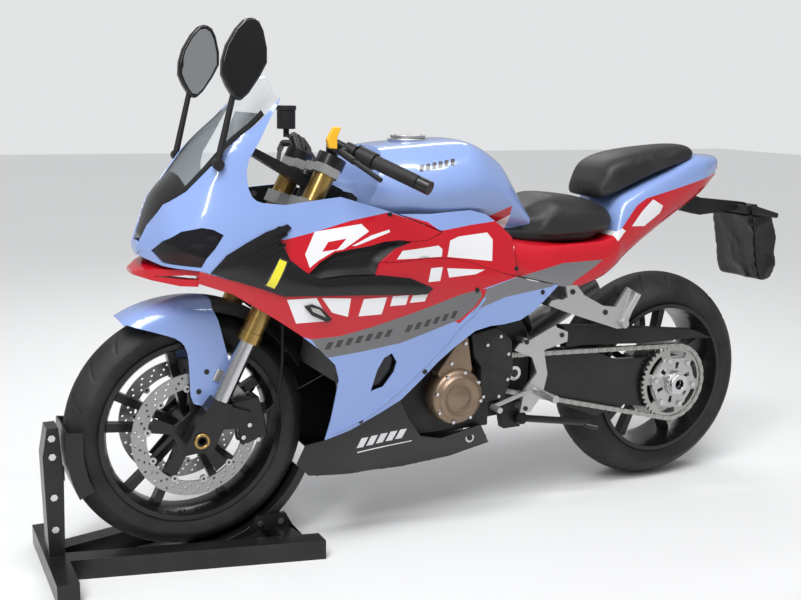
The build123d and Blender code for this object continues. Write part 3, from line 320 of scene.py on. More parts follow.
def inside(x, z, outline):
    hit = False
    j = len(outline) - 1
    for i in range(len(outline)):
        xi, zi = outline[i]
        xj, zj = outline[j]
        if (zi > z) != (zj > z) and x < (xj - xi) * (z - zi) / (zj - zi) + xi:
            hit = not hit
        j = i
    return hit


def densify(outline, step):
    dense = []
    for i, (x, z) in enumerate(outline):
        x2, z2 = outline[(i + 1) % len(outline)]
        count = max(1, math.ceil(math.hypot(x2 - x, z2 - z) / step))
        dense += [(x + (x2 - x) * k / count, z + (z2 - z) * k / count) for k in range(count)]
    return dense


def edgeGap(x, z, loops):
    best = 1e9
    for loop in loops:
        for i, (x1, z1) in enumerate(loop):
            x2, z2 = loop[(i + 1) % len(loop)]
            dx, dz = x2 - x1, z2 - z1
            length = dx * dx + dz * dz
            t = 0 if length == 0 else min(1, max(0, ((x - x1) * dx + (z - z1) * dz) / length))
            best = min(best, math.hypot(x - x1 - t * dx, z - z1 - t * dz))
    return best


def fillOutline(outline, holes, zones, step):
    # flat triangles inside an outline, cut along the holes and the edges of the colour zones
    rim = densify(outline, step)
    loops = [rim] + [densify(hole, step) for hole in holes] + [densify(zone, step * 2) for zone in zones]
    points, edges = [], []
    for loop in loops:
        first = len(points)
        points += loop
        edges += [(first + i, first + (i + 1) % len(loop)) for i in range(len(loop))]
    xs = [p[0] for p in outline]
    zs = [p[1] for p in outline]
    coarse = [outline, *holes, *zones]
    x = min(xs) + step / 2
    while x < max(xs):
        z = min(zs) + step / 2
        while z < max(zs):
            if inside(x, z, outline) and edgeGap(x, z, coarse) > step * 0.45:
                points.append((x, z))
            z += step
        x += step
    flat, _, faces, *_ = delaunay_2d_cdt([Vector(p) for p in points], edges, [], 0, 1e-4)
    kept, colours = [], []
    for face in faces:
        cx = sum(flat[i][0] for i in face) / 3
        cz = sum(flat[i][1] for i in face) / 3
        if not inside(cx, cz, outline) or any(inside(cx, cz, hole) for hole in holes):
            continue
        a, b, c = (flat[i] for i in face)
        turn = (b[0] - a[0]) * (c[1] - a[1]) - (b[1] - a[1]) * (c[0] - a[0])
        kept.append(face if turn < 0 else face[::-1])
        colours.append(next((i + 1 for i, zone in enumerate(zones) if inside(cx, cz, zone)), 0))
    used = sorted({i for face in kept for i in face})
    renumber = {old: new for new, old in enumerate(used)}
    return [tuple(flat[i]) for i in used], [[renumber[i] for i in face] for face in kept], colours


def panel(name, outline, depth, materials, zones=(), holes=(), step=14, wall=4.0, edge=0.8, sides=(1,),
          inner=None):
    # curved panel over a side outline; depth(x, z) is its distance from the middle plane
    allMaterials = [*materials, inner] if inner else materials
    flat, faces, colours = fillOutline(outline, holes, zones, step)
    parts = []
    for side in sides:
        points = [(x, side * depth(x, z), z) for x, z in flat]
        facing = faces if side > 0 else [face[::-1] for face in faces]
        piece = makeMesh(name, points, facing, allMaterials, colours)
        walled(piece, wall, len(materials) if inner else 0)
        bevelled(piece, edge, 2, 50)
        parts.append(bake(piece))
    if len(parts) == 1:
        return parts[0]
    return join(name, parts)


def flatPlate(name, outline, holes, yLow, yHigh, material, edge=0.6, segments=2):
    # flat plate of even thickness, square to the middle plane
    flat, faces, _ = fillOutline(outline, holes, (), 60)
    piece = makeMesh(name, [(x, yHigh, z) for x, z in flat], faces, [material], smooth=edge > 0)
    with editing(piece) as work:
        bmesh.ops.dissolve_limit(work, angle_limit=0.01, verts=work.verts, edges=work.edges)
    walled(piece, yHigh - yLow)
    if edge:
        bevelled(piece, edge, segments)
    return bake(piece)


def polar(centre, radius, angle):
    return centre[0] + radius * math.cos(angle), centre[1] + radius * math.sin(angle)


def circle(centre, radius, count, start=0.0):
    return [polar(centre, radius, start + 2 * math.pi * i / count) for i in range(count)]


def spotsRound(centre, radius, y, count, start=0.0):
    return [(x, y, z) for x, z in circle(centre, radius, count, start)]


def gridFaces(rows, columns):
    # quads of a grid whose points go row by row
    return [[a, a + 1, a + columns + 2, a + columns + 1] for i in range(rows)
            for a in range(i * (columns + 1), i * (columns + 1) + columns)]


def shrunk(outline, shareX, shareZ):
    middleX, middleZ = (sum(p[k] for p in outline) / len(outline) for k in (0, 1))
    return [(middleX + (x - middleX) * shareX, middleZ + (z - middleZ) * shareZ) for x, z in outline]


def turned(name, centre, profile, steps, material):
    # closed ring from a closed profile of (y, radius) about an axis across the bike
    points, faces = [], []
    count = len(profile)
    for i in range(steps):
        for y, radius in profile:
            x, z = polar(centre, radius, 2 * math.pi * i / steps)
            points.append((x, y, z))
        for k in range(count):
            faces.append((i * count + k, i * count + (k + 1) % count,
                          (i + 1) % steps * count + (k + 1) % count, (i + 1) % steps * count + k))
    return outward(makeMesh(name, points, faces, [material]))


def tube(name, start, end, radius, material, steps=24, endRadius=None):
    turn = (Vector(end) - Vector(start)).to_track_quat("Z", "Y")
    endRadius = radius if endRadius is None else endRadius
    points = [spot + turn @ Vector((x, y, 0)) for spot, size in ((Vector(start), radius), (Vector(end), endRadius))
              for x, y in circle((0, 0), size, steps)]
    faces = [[i, (i + 1) % steps, steps + (i + 1) % steps, steps + i] for i in range(steps)]
    faces += [list(range(steps))[::-1], list(range(steps, 2 * steps))]
    piece = makeMesh(name, points, faces, [material])
    return bake(bevelled(piece, min(radius, endRadius) * 0.08, 2, 40))


def curveAt(xs, ys, x):
    # smooth curve through rising stations without overshoot
    if x <= xs[0]:
        return ys[0]
    if x >= xs[-1]:
        return ys[-1]
    i = max(k for k in range(len(xs) - 1) if xs[k] <= x)
    steps = [xs[k + 1] - xs[k] for k in range(len(xs) - 1)]
    slopes = [(ys[k + 1] - ys[k]) / steps[k] for k in range(len(steps))]

    def tangent(k):
        if k == 0:
            return slopes[0]
        if k == len(xs) - 1:
            return slopes[-1]
        if slopes[k - 1] * slopes[k] <= 0:
            return 0.0
        w1, w2 = 2 * steps[k] + steps[k - 1], steps[k] + 2 * steps[k - 1]
        return (w1 + w2) / (w1 / slopes[k - 1] + w2 / slopes[k])

    h = steps[i]
    t = (x - xs[i]) / h
    return ((1 + 2 * t) * (1 - t) ** 2 * ys[i] + t * (1 - t) ** 2 * h * tangent(i)
            + t * t * (3 - 2 * t) * ys[i + 1] + t * t * (t - 1) * h * tangent(i + 1))


def sectionAt(rows, x):
    xs = [r[0] for r in rows]
    return [(curveAt(xs, [r[1][k][0] for r in rows], x), curveAt(xs, [r[1][k][1] for r in rows], x))
            for k in range(len(rows[0][1]))]


def surfaceOf(rows, out=0.0):
    # distance from the middle plane of a form given by sections, as a function of x and z
    rising = sorted(rows)
    sections = {}

    def depth(x, z):
        key = round(x, 1)
        if key not in sections:
            section = sectionAt(rising, x)[::-1]
            sections[key] = ([p[1] for p in section], [p[0] for p in section])
        heights, widths = sections[key]
        return max(1.0, curveAt(heights, widths, z)) + out

    return depth


def paintZones(piece, zones):
    # cuts the skin along each zone's side outline, then gives the faces inside it that zone's material
    with editing(piece) as work:
        for outline, _ in zones:
            for i, (x1, z1) in enumerate(outline):
                x2, z2 = outline[(i + 1) % len(outline)]
                near = []
                for edge in work.edges:
                    a, b = ((1000 * v.co.x - axleShift, 1000 * v.co.z) for v in edge.verts)
                    middle = ((a[0] + b[0]) / 2, (a[1] + b[1]) / 2)
                    if edgeGap(*middle, [[(x1, z1), (x2, z2)]]) < math.dist(a, b) / 2 + 4:
                        near.append(edge)
                cutGeometry = set(near)
                for edge in near:
                    cutGeometry.update(edge.verts)
                    cutGeometry.update(edge.link_faces)
                bmesh.ops.bisect_plane(work, geom=list(cutGeometry), plane_co=row(x1, 0, z1),
                                       plane_no=Vector((z2 - z1, 0, x1 - x2)).normalized(), dist=1e-6)
        for face in work.faces:
            centre = face.calc_center_median() * 1000
            for outline, index in zones:
                if inside(centre.x - axleShift, centre.z, outline):
                    face.material_index = index
                    break
    return piece


def loftSkin(name, rows, materials, around=5, stepX=14.0):
    # closed form through mirrored half sections, smoothed both ways
    rising = sorted(rows)
    stations = []
    for a, b in zip(rising, rising[1:]):
        count = max(1, round((b[0] - a[0]) / stepX))
        stations += [a[0] + (b[0] - a[0]) * k / count for k in range(count)]
    stations.append(rising[-1][0])
    points, rings = [], []
    for x in stations:
        half = sectionAt(rising, x)
        loop = half + [(-y, z) for y, z in reversed(half)]
        count = len(loop)
        ring = []
        for k in range(count):
            p0, p1, p2, p3 = (loop[(k + j) % count] for j in (-1, 0, 1, 2))
            for s in range(around):
                t = s / around
                spot = [0.5 * (2 * p1[c] + (p2[c] - p0[c]) * t + (2 * p0[c] - 5 * p1[c] + 4 * p2[c] - p3[c]) * t * t
                               + (3 * p1[c] - p0[c] - 3 * p2[c] + p3[c]) * t ** 3) for c in (0, 1)]
                ring.append(len(points))
                points.append((x, spot[0], spot[1]))
        rings.append(ring)
    faces = []
    for one, two in zip(rings, rings[1:]):
        faces += [[one[k], one[(k + 1) % len(one)], two[(k + 1) % len(two)], two[k]] for k in range(len(one))]
    faces += [rings[0][::-1], rings[-1]]
    return outward(makeMesh(name, points, faces, materials))


def cleanCopy(name, node, materials):
    # the solid's own mesh with its flat faces whole again
    work = bmesh.new()
    work.from_mesh(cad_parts[node].data)
    bmesh.ops.remove_doubles(work, verts=work.verts, dist=1e-5)
    bmesh.ops.dissolve_limit(work, angle_limit=math.radians(1.5), verts=work.verts, edges=work.edges)
    mesh = bpy.data.meshes.new(name)
    mesh.from_pydata([v.co.copy() for v in work.verts], [], [[v.index for v in f.verts] for f in work.faces])
    work.free()
    dressMesh(mesh, materials)
    return newObject(name, mesh)


# ---- repeats: fasteners and small round things on the sides
def repeatGroup(name, inputs):
    tree, given, end = addGroup(
        name, [("Geometry", "NodeSocketGeometry", None), *inputs, ("Finish", "NodeSocketMaterial", None)],
        [("Geometry", "NodeSocketGeometry")], "GeometryNodeTree")
    real = addNode(tree, "GeometryNodeRealizeInstances")
    dress = addNode(tree, "GeometryNodeSetMaterial", {"Geometry": real.outputs["Geometry"],
                                                      "Material": given["Finish"]})
    tree.links.new(dress.outputs["Geometry"], end["Geometry"])
    return tree, given, real.inputs["Geometry"]


def repeated(piece, tree, values):
    # runs the node group on the piece's points and keeps the result as its mesh
    repeat = piece.modifiers.new("repeat", "NODES")
    repeat.node_group = tree
    for socket in tree.interface.items_tree:
        if socket.in_out == "INPUT" and socket.name in values:
            repeat[socket.identifier] = values[socket.name]
    return bake(piece)


def fastenerTree():
    tree, given, real = repeatGroup("fasteners", [
        ("Radius", "NodeSocketFloat", 0.004), ("Depth", "NodeSocketFloat", 0.004), ("Sides", "NodeSocketInt", 6),
        ("Turn", "NodeSocketVector", (math.pi / 2, 0, 0))])
    head = addNode(tree, "GeometryNodeMeshCylinder", {"Vertices": given["Sides"], "Radius": given["Radius"],
                                                      "Depth": given["Depth"]})
    spread = addNode(tree, "GeometryNodeInstanceOnPoints", {
        "Points": given["Geometry"], "Instance": head.outputs["Mesh"], "Rotation": given["Turn"]})
    tree.links.new(spread.outputs["Instances"], real)
    return tree


fastenerNodes = fastenerTree()


def fasteners(name, spots, radius, depth, sides, material, body, slotName, turn=(math.pi / 2, 0, 0)):
    piece = repeated(makeMesh(name, spots, [], []), fastenerNodes, {
        "Radius": radius / 1000, "Depth": depth / 1000, "Sides": sides, "Turn": turn, "Finish": material})
    return place(piece, body, slotName)


def bothSides(spots):
    return spots + [(x, -y, z) for x, y, z in spots]


print("helpers ready")

# ---- body panels, cut from one smooth fairing form
fairingRows = [
    # x, then the left half of the section as (y, z) from the top
    (118, [(8, 800), (22, 797), (30, 790), (32, 782), (32, 776), (28, 770), (20, 766), (8, 764)]),
    (60, [(30, 925), (80, 905), (125, 865), (150, 805), (152, 760), (135, 720), (80, 705), (20, 700)]),
    (-60, [(60, 1060), (168, 1010), (186, 930), (204, 830), (212, 740), (198, 665), (150, 640), (20, 635)]),
    (-200, [(60, 1190), (176, 1110), (194, 960), (216, 800), (226, 700), (214, 560), (198, 330), (172, 215)]),
    (-300, [(60, 1190), (176, 1090), (196, 900), (222, 790), (230, 690), (214, 530), (196, 330), (165, 208)]),
    (-480, [(60, 960), (155, 920), (198, 860), (224, 770), (228, 690), (212, 540), (190, 350), (135, 190)]),
    (-700, [(60, 940), (150, 900), (172, 830), (190, 750), (200, 680), (198, 560), (176, 350), (125, 196)]),
    (-930, [(60, 880), (116, 840), (142, 780), (158, 710), (168, 650), (170, 560), (160, 350), (115, 225)]),
    (-1000, [(60, 860), (112, 820), (136, 765), (152, 700), (160, 645), (162, 560), (154, 350), (110, 235)]),
]
fairingDepth = surfaceOf(fairingRows)
lampOutline = [(98, 781), (81, 807), (47, 832), (6, 842), (-17, 838), (-38, 826), (-19, 796), (0, 773), (11, 752),
               (82, 757)]
upperOutline = [
    (118, 764), (118, 790), (98, 836), (69, 886), (28, 919), (-10, 962), (-57, 1014), (-92, 1046), (-129, 1075),
    (-189, 1133), (-161, 1092), (-131, 1036), (-104, 992), (-98, 968), (-98, 948), (-100, 928), (-107, 910),
    (-116, 901), (-130, 896), (-183, 890), (-246, 897), (-326, 904), (-451, 867), (-600, 809), (-549, 793),
    (-506, 793), (-474, 798), (-430, 796), (-392, 788), (-340, 782), (-300, 776), (-262, 756), (-224, 722),
    (-118, 717), (-54, 724), (11, 744), (82, 750),
]
ventOutline = [(-461, 515), (-477, 490), (-471, 464), (-443, 428), (-407, 420), (-423, 475), (-440, 505)]
seamLine = [(-417, 747), (-471, 744), (-545, 749), (-622, 743), (-685, 728), (-783, 695), (-886, 665)]
sideOutline = [
    (14.8, 743), (-54, 722), (-118, 714), (-224, 713), (-262, 712), (-405, 716), (-412, 738), *seamLine,
    (-986, 644), (-945, 612), (-906, 583), (-855, 561), (-800, 556), (-755, 556), (-707, 548), (-648, 513),
    (-597, 476), (-550, 433), (-495, 386), (-439, 359), (-358, 324), (-291, 307), (-303, 358), (-312, 410),
    (-320, 461), (-308, 501), (-267, 542), (-215, 584), (-160, 623), (-56, 690), (14.8, 714),
]
tankCoverOutline = [
    (-480, 859), (-572, 855), (-699, 858), (-750, 845), (-796, 814), (-832, 782), (-840, 681), (-783, 696),
    (-685, 729), (-622, 744), (-545, 750), (-471, 745), (-417, 748), (-458, 777), (-506, 792), (-549, 792),
    (-602, 807), (-604, 811),
]
bellyOutline = [
    (-291, 306), (-358, 323), (-439, 358), (-495, 385), (-525, 330), (-574, 270), (-639, 252), (-762, 275),
    (-806, 211), (-683, 190), (-529, 184), (-376, 194), (-257, 212), (-222, 249), (-240, 300),
]


def slanted(x, z, width, height, lean=18):
    # leaning block, a plain shape of the livery
    return [(x, z), (x - width, z), (x - width - lean, z + height), (x - lean, z + height)]


def shapesInside(shapes, outline):
    # keeps the shapes whose corners all lie within the panel
    return [shape for shape in shapes if all(inside(px, pz, outline) for px, pz in shape)]


upperRed = [(-166, 812), (-179, 811), (-241, 824), (-345, 848), (-452, 864), (-606, 811), (-549, 792), (-506, 792),
            (-474, 796), (-392, 787), (-300, 775), (-262, 755), (-226, 722), (-188, 719), (-180, 760)]
upperWhite = [
    [(-236, 744), (-258, 760), (-300, 781), (-322, 783), (-392, 822), (-374, 840), (-252, 827), (-226, 776)],
    [(-344, 790), (-356, 790), (-448, 818), (-446, 824), (-396, 812)],
]
upperHole = [(-284, 802), (-332, 808), (-306, 784), (-268, 780)]
sideRed = [(40, 745), (-405, 730), (-412, 770), (-700, 770), (-995, 700), (-995, 648), (-842, 679), (-732, 658),
           (-655, 649), (-600, 636), (-500, 612), (-400, 588), (-317, 573), (-243, 571), (-160, 600), (40, 700)]
sideGrey = [(-243, 571), (-317, 573), (-400, 588), (-500, 612), (-600, 636), (-655, 649), (-715, 658),
            (-724, 640), (-700, 612), (-659, 585), (-597, 569), (-482, 539), (-373, 527), (-290, 521),
            (-262, 546)]
sideSwoosh = [(-738, 656), (-842, 678), (-976, 650), (-964, 642), (-800, 628), (-717, 606), (-690, 592),
              (-708, 612), (-733, 640)]
sideEdge = [(-715, 658), (-738, 656), (-733, 640), (-708, 612), (-655, 573), (-640, 580), (-659, 585),
            (-700, 612), (-724, 640)]
sideWhite = [
    [(-180, 672), (-252, 672), (-286, 614), (-204, 613)],
    [(-266, 671), (-340, 665), (-334, 620), (-292, 634)],
    slanted(-362, 619, 62, 42, 12), slanted(-446, 638, 44, 24, 6), slanted(-500, 642, 44, 18, 8),
    slanted(-552, 690, 36, 34, 8), [(-610, 720), (-732, 706), (-701, 697), (-616, 696)],
]
coverWhite = [
    [(-462, 752), (-478, 772), (-585, 778), (-597, 768), (-594, 750)],
    [(-612, 748), (-624, 787), (-653, 795), (-748, 799), (-765, 780), (-758, 726)],
    [(-781, 800), (-815, 808), (-836, 760), (-836, 740), (-806, 722)],
]
coverBlue = [(-470, 870), (-476, 859), (-560, 836), (-595, 812), (-697, 821), (-785, 826), (-822, 792), (-850, 830),
             (-700, 880)]


def barRow(start, end, count, height, lean, share=0.55):
    # plain leaning bars spaced evenly between two spots
    bars = []
    for k in range(count):
        x = start[0] + (end[0] - start[0]) * k / count
        z = start[1] + (end[1] - start[1]) * k / count
        bars.append(slanted(x, z, (start[0] - end[0]) / count * share, height, lean))
    return bars


bandBars = barRow((-278, 542), (-462, 562), 7, 18, 9) + barRow((-492, 566), (-652, 594), 6, 18, 9)
bellyBars = barRow((-384, 268), (-524, 276), 5, 27, 10, 0.7) + [[(-389, 252), (-549, 259), (-549, 262), (-389, 256)]]
tankBars = barRow((-546, 958), (-656, 974), 6, 16, 7, 0.62)
sideWhite = shapesInside(sideWhite, sideOutline)
coverWhite = shapesInside(coverWhite, tankCoverOutline)
for side, suffix in ((1, "left"), (-1, "right")):
    upper = panel("upperFairing" + suffix.title(), upperOutline, fairingDepth,
                  [paintBlue, paintRed] + [paintWhite] * len(upperWhite) + [paintRed],
                  [upperHole, *upperWhite, upperRed], [lampOutline], sides=(side,), inner=blackMoulded)
    place(upper, "chassis", "blue_gloss", "upper_fairing_" + suffix)
    lower = panel("sideFairing" + suffix.title(), sideOutline, fairingDepth,
                  [paintBlue] + [paintWhite] * len(sideWhite) + [paintBlack] * len(bandBars)
                  + [paintRed, paintGrey, paintSilver, paintRed],
                  [*sideWhite, *bandBars, sideRed, sideGrey, sideSwoosh, sideEdge], [ventOutline], step=15,
                  sides=(side,), inner=blackMoulded)
    place(lower, "chassis", "blue_gloss", "side_fairing_" + suffix)
covers = panel("tankCovers", tankCoverOutline, fairingDepth,
               [paintRed] + [paintWhite] * len(coverWhite) + [paintBlue], [*coverWhite, coverBlue], sides=(1, -1),
               inner=blackMoulded)
place(covers, "chassis", "blue_gloss", "tank_covers")
print("side panels made")

bladeOutline = [
    (-6, 741), (-54, 724), (-118, 702), (-172, 681), (-325, 674), (-546, 660), (-566, 674), (-499, 704),
    (-417, 717), (-325, 720), (-266, 716), (-225, 735), (-189, 764), (-167, 811), (-195, 838), (-186, 847),
    (-133, 831), (-85, 807), (-40, 781),
]
ductOutline = [
    (-224, 723), (-262, 755), (-300, 775), (-392, 787), (-474, 797), (-506, 792), (-458, 775), (-417, 748),
    (-412, 718), (-325, 721), (-266, 717),
]


def bladeDepth(x, z):
    # the blade stands further out towards the middle of its width
    rise = min(1.0, edgeGap(x, z, [bladeOutline]) / 30)
    return fairingDepth(x, z) + 4.0 + 7.0 * math.sin(rise * math.pi / 2)


blades = panel("wingletBlades", bladeOutline, bladeDepth, [blackGloss], step=12, wall=3.5, edge=0.6, sides=(1, -1))
place(blades, "chassis", "black_gloss", "winglets")


def ductDepth(x, z):
    return fairingDepth(x, z) - 6.0 - 14.0 * min(1.0, edgeGap(x, z, [ductOutline]) / 16)


ducts = panel("intakeDucts", ductOutline, ductDepth, [blackMoulded], step=8, wall=3.0, edge=0.6, sides=(1, -1))
place(ducts, "chassis", "black_plastic", "intake_ducts")
vents = panel("ventPlates", ventOutline, lambda x, z: fairingDepth(x, z) - 14, [blackGloss], wall=3.0, edge=0.6,
              sides=(1, -1))
place(vents, "chassis", "black_gloss")
strakes = []
for x1, z1, x2, z2 in ((-181, 822, -72, 774), (-176, 798, -88, 756)):
    strake = [(x1, z1), (x2, z2), (x2 + 2, z2 + 5), (x1 - 1, z1 + 7)]
    strakes.append(panel("strake", strake, lambda x, z: fairingDepth(x, z) + 13, [blackGloss], step=10, wall=5.0,
                         sides=(1, -1)))
place(join("wingletStrakes", strakes), "chassis", "black_gloss")

creaseLine = [(-735, 635), (-698, 596), (-655, 567), (-628, 536), (-570, 485), (-511, 435), (-453, 390), (-395, 355),
              (-310, 326)]
creaseOutline = creaseLine + [(x - 1.5, z - 5) for x, z in creaseLine[::-1]]
crease = panel("sideCrease", creaseOutline, lambda x, z: fairingDepth(x, z) + 1.8, [paintBlue], step=10, wall=2.2,
               edge=0.7, sides=(1, -1))
place(crease, "chassis", "blue_gloss")
labelOutline = [(-120, 708), (-145, 698), (-185, 765), (-162, 773)]
label = panel("bladeLabel", labelOutline, lambda x, z: bladeDepth(x, z) + 0.6, [paintBlack, labelYellow],
              [shrunk(labelOutline, 0.78, 0.9)], step=8, wall=0.6, edge=0, sides=(1, -1))
place(label, "chassis", "black_gloss")

# thin red plates that close the chin's sides against the side fairings
seamPoints = [(x, reach, z) for z in (708, 716, 725, 734, 742) for x in (14.4, 15.6)
              for reach in (156, fairingDepth(14.8, z) - 0.4)]
seamFaces = [[0, 1, 3, 2], [16, 18, 19, 17]]
for k in range(0, 16, 4):
    seamFaces += [[k, k + 4, k + 5, k + 1], [k + 2, k + 3, k + 7, k + 6], [k, k + 2, k + 6, k + 4],
                  [k + 1, k + 5, k + 7, k + 3]]
seams = [outward(makeMesh("seam", [(x, side * y, z) for x, y, z in seamPoints], seamFaces, [paintRed],
                          smooth=False)) for side in (1, -1)]
place(join("chinSeams", seams), "chassis", "blue_gloss")
nosePoints = []
for k in range(7):
    z = 764 + 34 * k / 6
    half = fairingDepth(118, z) - 0.5
    nosePoints += [(116.5 + 2.5 * (1 - share * share), half * share, z) for share in (j / 4 - 1 for j in range(9))]
noseTip = outward(bake(walled(makeMesh("noseTip", nosePoints, gridFaces(6, 8), [paintBlue]), 3)))
place(noseTip, "chassis", "blue_gloss")

belly = panel("bellyPan", bellyOutline, fairingDepth, [blackGloss] + [paintWhite] * len(bellyBars), bellyBars,
              sides=(1, -1), inner=blackMoulded)
floorStations = [-345 - 23 * k for k in range(20)]
floorPoints = []
for x in floorStations:
    low = max(curveAt([-806, -683, -529, -376, -257], [211, 190, 184, 194, 212], x), 184)
    reach = fairingDepth(x, low + 4) - 2
    floorPoints += [(x, reach * share, low - 1 + 4 * abs(share) ** 3) for share in ((k - 4) / 4 for k in range(9))]
floorFaces = gridFaces(len(floorStations) - 1, 8)
floorPiece = bake(walled(makeMesh("floorPart", floorPoints, floorFaces, [blackGloss]), -3.0))
place(join("bellyPan", [belly, floorPiece]), "chassis", "black_gloss", "belly_pan")
ledOutline = [(-221, 654), (-240, 658), (-263, 648), (-291, 618), (-279, 612), (-239, 632)]
leds = panel("frontSignals", ledOutline, lambda x, z: fairingDepth(x, z) + 6, [blackGloss, amberLens],
             [[(-236, 652), (-258, 645), (-276, 624), (-242, 640)]], step=8, wall=6.0, edge=1.0, sides=(1, -1))
place(leds, "chassis", "black_plastic", "front_signals")
fasteners("bellyRing", bothSides([(-735, fairingDepth(-735, 238) + 0.6, 238)]), 13, 3, 32, brightSteel, "chassis",
          "black_metal")
# a flat black disc inside the ring is painted shade standing for its hollow
fasteners("bellyHollowShade", bothSides([(-735, fairingDepth(-735, 238) + 1.4, 238)]), 8, 3.4, 24, blackEnamel, "chassis",
          "black_metal")
fasteners("panelScrews", bothSides([(x, fairingDepth(x, z) + 0.4, z) for x, z in
                                    ((-707, 656), (-839, 700), (-111, 918), (-453, 858), (-560, 455),
                                     (-385, 345), (-930, 630))]),
          6.5, 2.4, 16, blackEnamel, "chassis", "black_metal")
print("winglets, ducts and belly made")

# ---- nose: lamps, screen, mirrors
lampGlass = panel("lampGlass", lampOutline, lambda x, z: fairingDepth(x, z) - 1, [lampCover], step=10, wall=2.5,
                  edge=0.4, sides=(1, -1))
place(lampGlass, "chassis", "lamp", "headlights")


def bowlDepth(x, z):
    share = min(1.0, edgeGap(x, z, [lampOutline]) / 26)
    return max(6.0, fairingDepth(x, z) - 8 - 16 * share * share * (3 - 2 * share))


# the last zone, low in each lamp, is a painted red reflection in the lamp glass, not a lens
lampBowls = panel("lampBowls", lampOutline, bowlDepth, [blackGloss, lampInner, lampInner, paintedRedReflection],
                  [slanted(30, 792, 26, 12, 10), slanted(-6, 812, 16, 9, 6),
                   [(92, 772), (60, 782), (22, 778), (6, 766), (12, 755), (80, 760)]], step=13, wall=2.0, edge=0,
                  sides=(1, -1))
place(lampBowls, "chassis", "black_gloss")

screenRows = {
    # x, then the height of the edge and of the middle line
    "x": [-189, -129, -57, -10, 28, 69, 116], "edge": [1131, 1072, 1011, 958, 915, 882, 786],
    "crown": [1186, 1112, 1048, 992, 950, 905, 794],
}
across, lengthwise = 24, 44
screenPoints = []
for i in range(lengthwise + 1):
    x = -189 + (114 + 189) * i / lengthwise
    edgeZ, crown = (curveAt(screenRows["x"], screenRows[key], x) for key in ("edge", "crown"))
    half = max(16.0, fairingDepth(x, edgeZ) - 4)
    corner = 1 - 0.12 * max(0.0, (-160 - x) / 32) ** 2
    for k in range(across + 1):
        share = 2 * k / across - 1
        screenPoints.append((x, half * share * corner, crown - (crown - edgeZ) * abs(share) ** 2.1))
screenFaces = [face[:1] + face[:0:-1] for face in gridFaces(lengthwise, across)]
# black at the foot and along both edges, but clear along the top
screenZones = [int((i > lengthwise * 0.7 or k < 2 or k > across - 3) and i > lengthwise * 0.12)
               for i in range(lengthwise) for k in range(across)]
screen = bake(walled(makeMesh("windscreen", screenPoints, screenFaces, [clearScreen, blackGloss], screenZones), 3.5))
place(screen, "chassis", "clear", "windscreen")

mirrorOutline = [(-62, 1140), (-72, 1126), (-86, 1124), (-104, 1140), (-130, 1176), (-148, 1208), (-148, 1240),
                 (-140, 1278), (-130, 1298), (-116, 1306), (-98, 1303), (-76, 1280), (-54, 1244), (-44, 1212),
                 (-42, 1180), (-52, 1156)]
mirrorParts = []
for side in (1, -1):
    low, high = sorted((side * 166, side * 191))
    mirrorParts.append(flatPlate("shell", mirrorOutline, [], low, high, blackGloss, edge=8, segments=4))
    glassLow, glassHigh = sorted((side * 166.4, side * 165.4))
    mirrorParts.append(flatPlate("glass", shrunk(mirrorOutline, 0.84, 0.88), [], glassLow, glassHigh, mirrorFace,
                                 edge=0))
    mirrorParts.append(tube("stem", (-34, side * 177, 990), (-76, side * 178, 1160), 8, blackMoulded, 16, 6.5))
    mirrorParts.append(tube("foot", (-34, side * 168, 984), (-34, side * 186, 982), 13, blackMoulded, 20))
place(join("mirrors", mirrorParts), "chassis", "black_gloss", "mirrors")
print("nose made")

# ---- pieces that keep the solid's own form, with softened edges
softEdged = {
    # node: body, slot, finish, edge radius in mm
    "front_rim": ("front_wheel", "black_wheel", blackEnamel, 1.2),
    "rear_rim": ("rear_wheel", "black_wheel", blackEnamel, 1.4),
    "fork_lowers": ("fork", "silver", brightSteel, 1.2),
    "fork_uppers": ("fork", "gold", goldAnodised, 0.6),
    "yokes": ("fork", "silver", castSilver, 2.0),
    "clip_ons": ("fork", "black_metal", blackEnamel, 1.5),
    "grips": ("fork", "rubber", softRubber, 2.0),
    "bar_controls": ("fork", "black_metal", blackMoulded, 1.5),
    "brake_reservoir": ("fork", "black_plastic", blackMoulded, 2.0),
    "front_calipers": ("fork", "black_metal", blackEnamel, 4.0),
    "chin": ("chassis", "blue_gloss", paintRed, 1.5),
    "dash": ("chassis", "screen", displayGlass, 3.0),
    "main_frame": ("chassis", "black_metal", blackCast, 3.0),
    "engine_block": ("chassis", "black_metal", blackCast, 6.0),
    "sprocket_cover": ("chassis", "black_metal", blackCast, 5.0),
    "clutch_cover": ("chassis", "bronze", bronzeCast, 4.0),
    "radiator": ("chassis", "black_metal", blackCast, 2.0),
    "exhaust": ("chassis", "steel", brushedSteel, 2.0),
    "fuel_cap": ("fuel_cap", "silver", castSilver, 1.2),
    "tail_light": ("chassis", "red_lens", redLens, 2.0),
    "plate_holder": ("chassis", "black_plastic", blackMoulded, 2.0),
    "rear_signals": ("chassis", "black_plastic", blackMoulded, 2.0),
    "wrapped_plate": ("chassis", "wrap", filmWrap, 14.0),
    "swingarm": ("chassis", "black_metal", blackEnamel, 3.0),
    "rear_disc": ("rear_wheel", "steel", brushedSteel, 0.6),
    "rear_hub": ("rear_wheel", "steel", brightSteel, 1.0),
    "rear_shock": ("chassis", "black_metal", blackEnamel, 2.0),
    "rear_caliper": ("chassis", "black_metal", blackEnamel, 3.0),
    "rearsets": ("chassis", "silver", castSilver, 1.5),
    "pillion_brackets": ("chassis", "silver", castSilver, 2.0),
    "side_stand": ("side_stand", "black_metal", blackEnamel, 1.5),
    "chain_guard": ("chassis", "black_plastic", blackMoulded, 2.0),
    "chock_base": ("fork", "black_metal", blackEnamel, 2.5),
    "chock_hoop": ("fork", "black_metal", blackEnamel, 1.5),
    "chock_rocker": ("fork", "black_metal", blackEnamel, 1.2),
}
